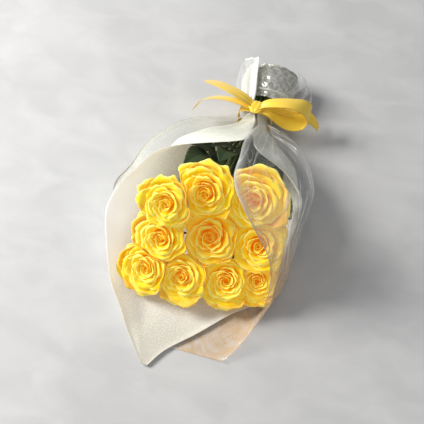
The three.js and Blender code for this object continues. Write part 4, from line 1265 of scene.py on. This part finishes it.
# Across, along and up from the tie, roll of the width in degrees, share of the width.
bowStrips = {
    "loop": (
        (3, 1, 25, 0, 0.4), (12, 4, 31, -10, 0.62), (27, 6, 36, -18, 0.85), (43, 10, 35, -18, 0.95),
        (58, 14, 28, -8, 1), (66, 14, 17, 4, 1), (62, 9, 9, 12, 1), (54, 5, 7, 14, 1), (42, 2, 9, 12, 1),
        (30, 0, 15, 8, 0.85), (18, 0, 22, 4, 0.62), (4, 0, 23.4, 0, 0.4)),
    "upper_tail": (
        (-3, 2, 25, 0, 0.4), (-17, 4, 33, -16, 0.7), (-32, 9, 35, -28, 0.9), (-52, 19, 29, -34, 1),
        (-73, 29, 17, -44, 1)),
    "lower_tail": (
        (-3, -1, 24, 0, 0.4), (-19, -1, 28, -24, 0.6), (-36, 0, 29, -36, 0.8), (-57, 0, 24, -42, 1),
        (-71, -2, 14, -46, 1), (-78, -8, 3, -40, 1)),
    "right_tail": (
        (5, 2, 23.4, 0, 0.4), (20, 7, 22, 0, 0.5), (36, 12, 14, 0, 0.6), (56, 20, 5, 0, 0.75),
        (68, 22, -3, 0, 0.7), (79, 16, -11, 0, 0.4)),
}


def ribbonStrip(name, points):
    size = ribbonSize
    count = size["stripSteps"] * len(points)
    table = np.array(points, float)
    line = curvePoints(table[:, :3], count)
    keys = np.linspace(0, 1, len(points))
    roll, share = (smoothTable(keys, table[:, k:k + 1], np.linspace(0, 1, count))[:, 0] for k in (3, 4))
    half = (share * size["width"] / 2)[:, None]
    side = np.linspace(-1, 1, size["stripColumns"] + 1)[None, :]
    roll = np.radians(roll)[:, None]
    gathers = 1 - np.minimum(share, 1)[:, None]
    lift = gathers * size["gatherDepth"] * np.sin(side * size["gatherWaves"] + 1)
    lift = lift - size["cupping"] * np.abs(side) * half
    out = side * half
    grid = tie + line[:, None, :] + np.stack([0 * out, out * np.cos(roll) - lift * np.sin(roll),
                                              out * np.sin(roll) + lift * np.cos(roll)], axis=2)
    piece = meshFrom("ribbon_" + name, [blade(grid, size["thickness"])], ribbon)
    declare(piece, "ribbon_bow")


# A flattened ball with a few folds, its map laid so that the weave runs round it.
def buildKnot():
    columns, rows = ribbonSize["knotPoints"]
    u, v = np.meshgrid(np.linspace(0, 2 * math.pi, columns + 1)[:-1], np.linspace(0, math.pi, rows + 1))
    wide, long, high = ribbonSize["knotSize"]
    folds = 1 + 0.16 * np.cos(u) ** 2 * np.abs(np.sin(u)) + 0.07 * np.sin(7 * u + 2 * np.cos(v)) * np.sin(v)
    ball = np.stack([wide * np.cos(u) * np.sin(v), long * np.cos(v), high * np.sin(u) * np.sin(v)], axis=2)
    grid = tie + ribbonSize["knotAt"] + ball * folds[..., None]
    faces = []
    for i in range(rows):
        for k in range(columns):
            here, beside = i * columns + k, i * columns + (k + 1) % columns
            faces.append((here, beside, beside + columns, here + columns))
    uv = np.stack([v / math.pi, u / fullTurn * 0.4, 0 * u], axis=2).reshape(-1, 3)
    knot = dict(points=grid.reshape(-1, 3), faces=faces, uv=uv)
    closedPiece("ribbon_knot", knot, ribbon, "ribbon_bow")


def buildNeckBand():
    size = ribbonSize
    turn = (np.arange(120) * 2 * math.pi / 120)[None, :]
    across = np.linspace(-0.5, 0.5, 13)[:, None]
    right, up = (np.sign(part) * np.abs(part) ** size["squareness"] for part in (np.cos(turn), np.sin(turn)))
    high = np.where(np.sin(turn) > 0, size["bandHigh"], size["bandLow"])
    pleat = size["pleatDepth"] * np.sin(across * size["pleats"] + 0.8 * np.sin(turn * 3))
    grid = np.stack([(size["bandWide"] + pleat) * right, across * size["bandAlong"] + 0 * turn,
                     (high + pleat) * up], axis=2)
    strip = blade(tie + grid, size["thickness"], loops=True)
    closedPiece("ribbon_neck", strip, ribbon, "ribbon_band")


buildKnot()
for name, points in bowStrips.items():
    ribbonStrip(name, points)
buildNeckBand()
print("ribbon ready")


floorFinish = dict(dark=(0.44, 0.44, 0.445, 1), light=(0.56, 0.56, 0.56, 1), streak=(0.64, 0.64, 0.635, 1),
                   mottle=0.12, stretch=(1.0, 1.7, 1.0), turn=-0.7)
# Metres, and the camera in millimetres from the tie.
studio = dict(
    floorSize=6,
    floorDrop=0.0002,
    key=dict(place=(-1.54, 0.02, 1.1), target=(-0.04, -0.05, 0.03), size=0.75, power=53,
             colour=(1, 0.985, 0.96)),
    fill=dict(place=(0.3, -1.3, 1.3), target=(0, 0, 0.03), size=1.4, power=6.5, colour=(1, 1, 1)),
    sky=(0.95, 0.97, 1, 1),
    skyStrength=0.30,
)
view = dict(azimuth=16.5, elevation=60, lens=70, sensor=36, tieToCamera=(124.4, -611.34, 841.67))


def buildFloor():
    look = floorFinish
    material, tree, shader = newMaterial("floor", Roughness=0.8)
    coarse, _ = mottled(tree, look["mottle"])
    streaks = noise(tree, stretched(tree, objectPlace(tree), look["stretch"], look["turn"]), Scale=14.0,
                    Detail=9.0, Distortion=0.8)
    base = mixColour(tree, coarse, look["dark"], look["light"])
    base = mixColour(tree, ramp(tree, streaks, [(0.4, 0.0), (0.7, 0.4)]), base, look["streak"])
    tree.links.new(base, shader.inputs["Base Color"])
    addBump(tree, shader, streaks, 0.3, 0.002)
    bpy.ops.mesh.primitive_plane_add(size=studio["floorSize"], location=(0, 0, -studio["floorDrop"]))
    floor = bpy.context.object
    floor.name = "floor"
    floor.data.materials.append(material)


def pointedAt(thing, place, way):
    thing.location = place
    thing.rotation_euler = way.to_track_quat("-Z", "Y").to_euler()


def addLight(name):
    lamp = studio[name]
    light = bpy.data.lights.new(name, "AREA")
    light.size, light.energy, light.color = lamp["size"], lamp["power"], lamp["colour"]
    pointedAt(addObject(name, light), lamp["place"], Vector(lamp["target"]) - Vector(lamp["place"]))


def buildCamera():
    azimuth, elevation = math.radians(view["azimuth"]), math.radians(view["elevation"])
    camera = bpy.data.cameras.new("camera")
    camera.lens, camera.sensor_width = view["lens"], view["sensor"]
    shot = addObject("camera", camera)
    forward = Vector((-math.sin(azimuth) * math.cos(elevation), math.cos(azimuth) * math.cos(elevation),
                      -math.sin(elevation)))
    pointedAt(shot, (tie + view["tieToCamera"]) * mm, forward)
    bpy.context.scene.camera = shot


def buildSky():
    world = bpy.data.worlds.new("studio")
    world.use_nodes = True
    background = world.node_tree.nodes["Background"]
    background.inputs["Color"].default_value = studio["sky"]
    background.inputs["Strength"].default_value = studio["skyStrength"]
    bpy.context.scene.world = world
    bpy.context.scene.view_settings.view_transform = "Standard"


buildFloor()
buildCamera()
addLight("key")
addLight("fill")
buildSky()

print("scene ready")
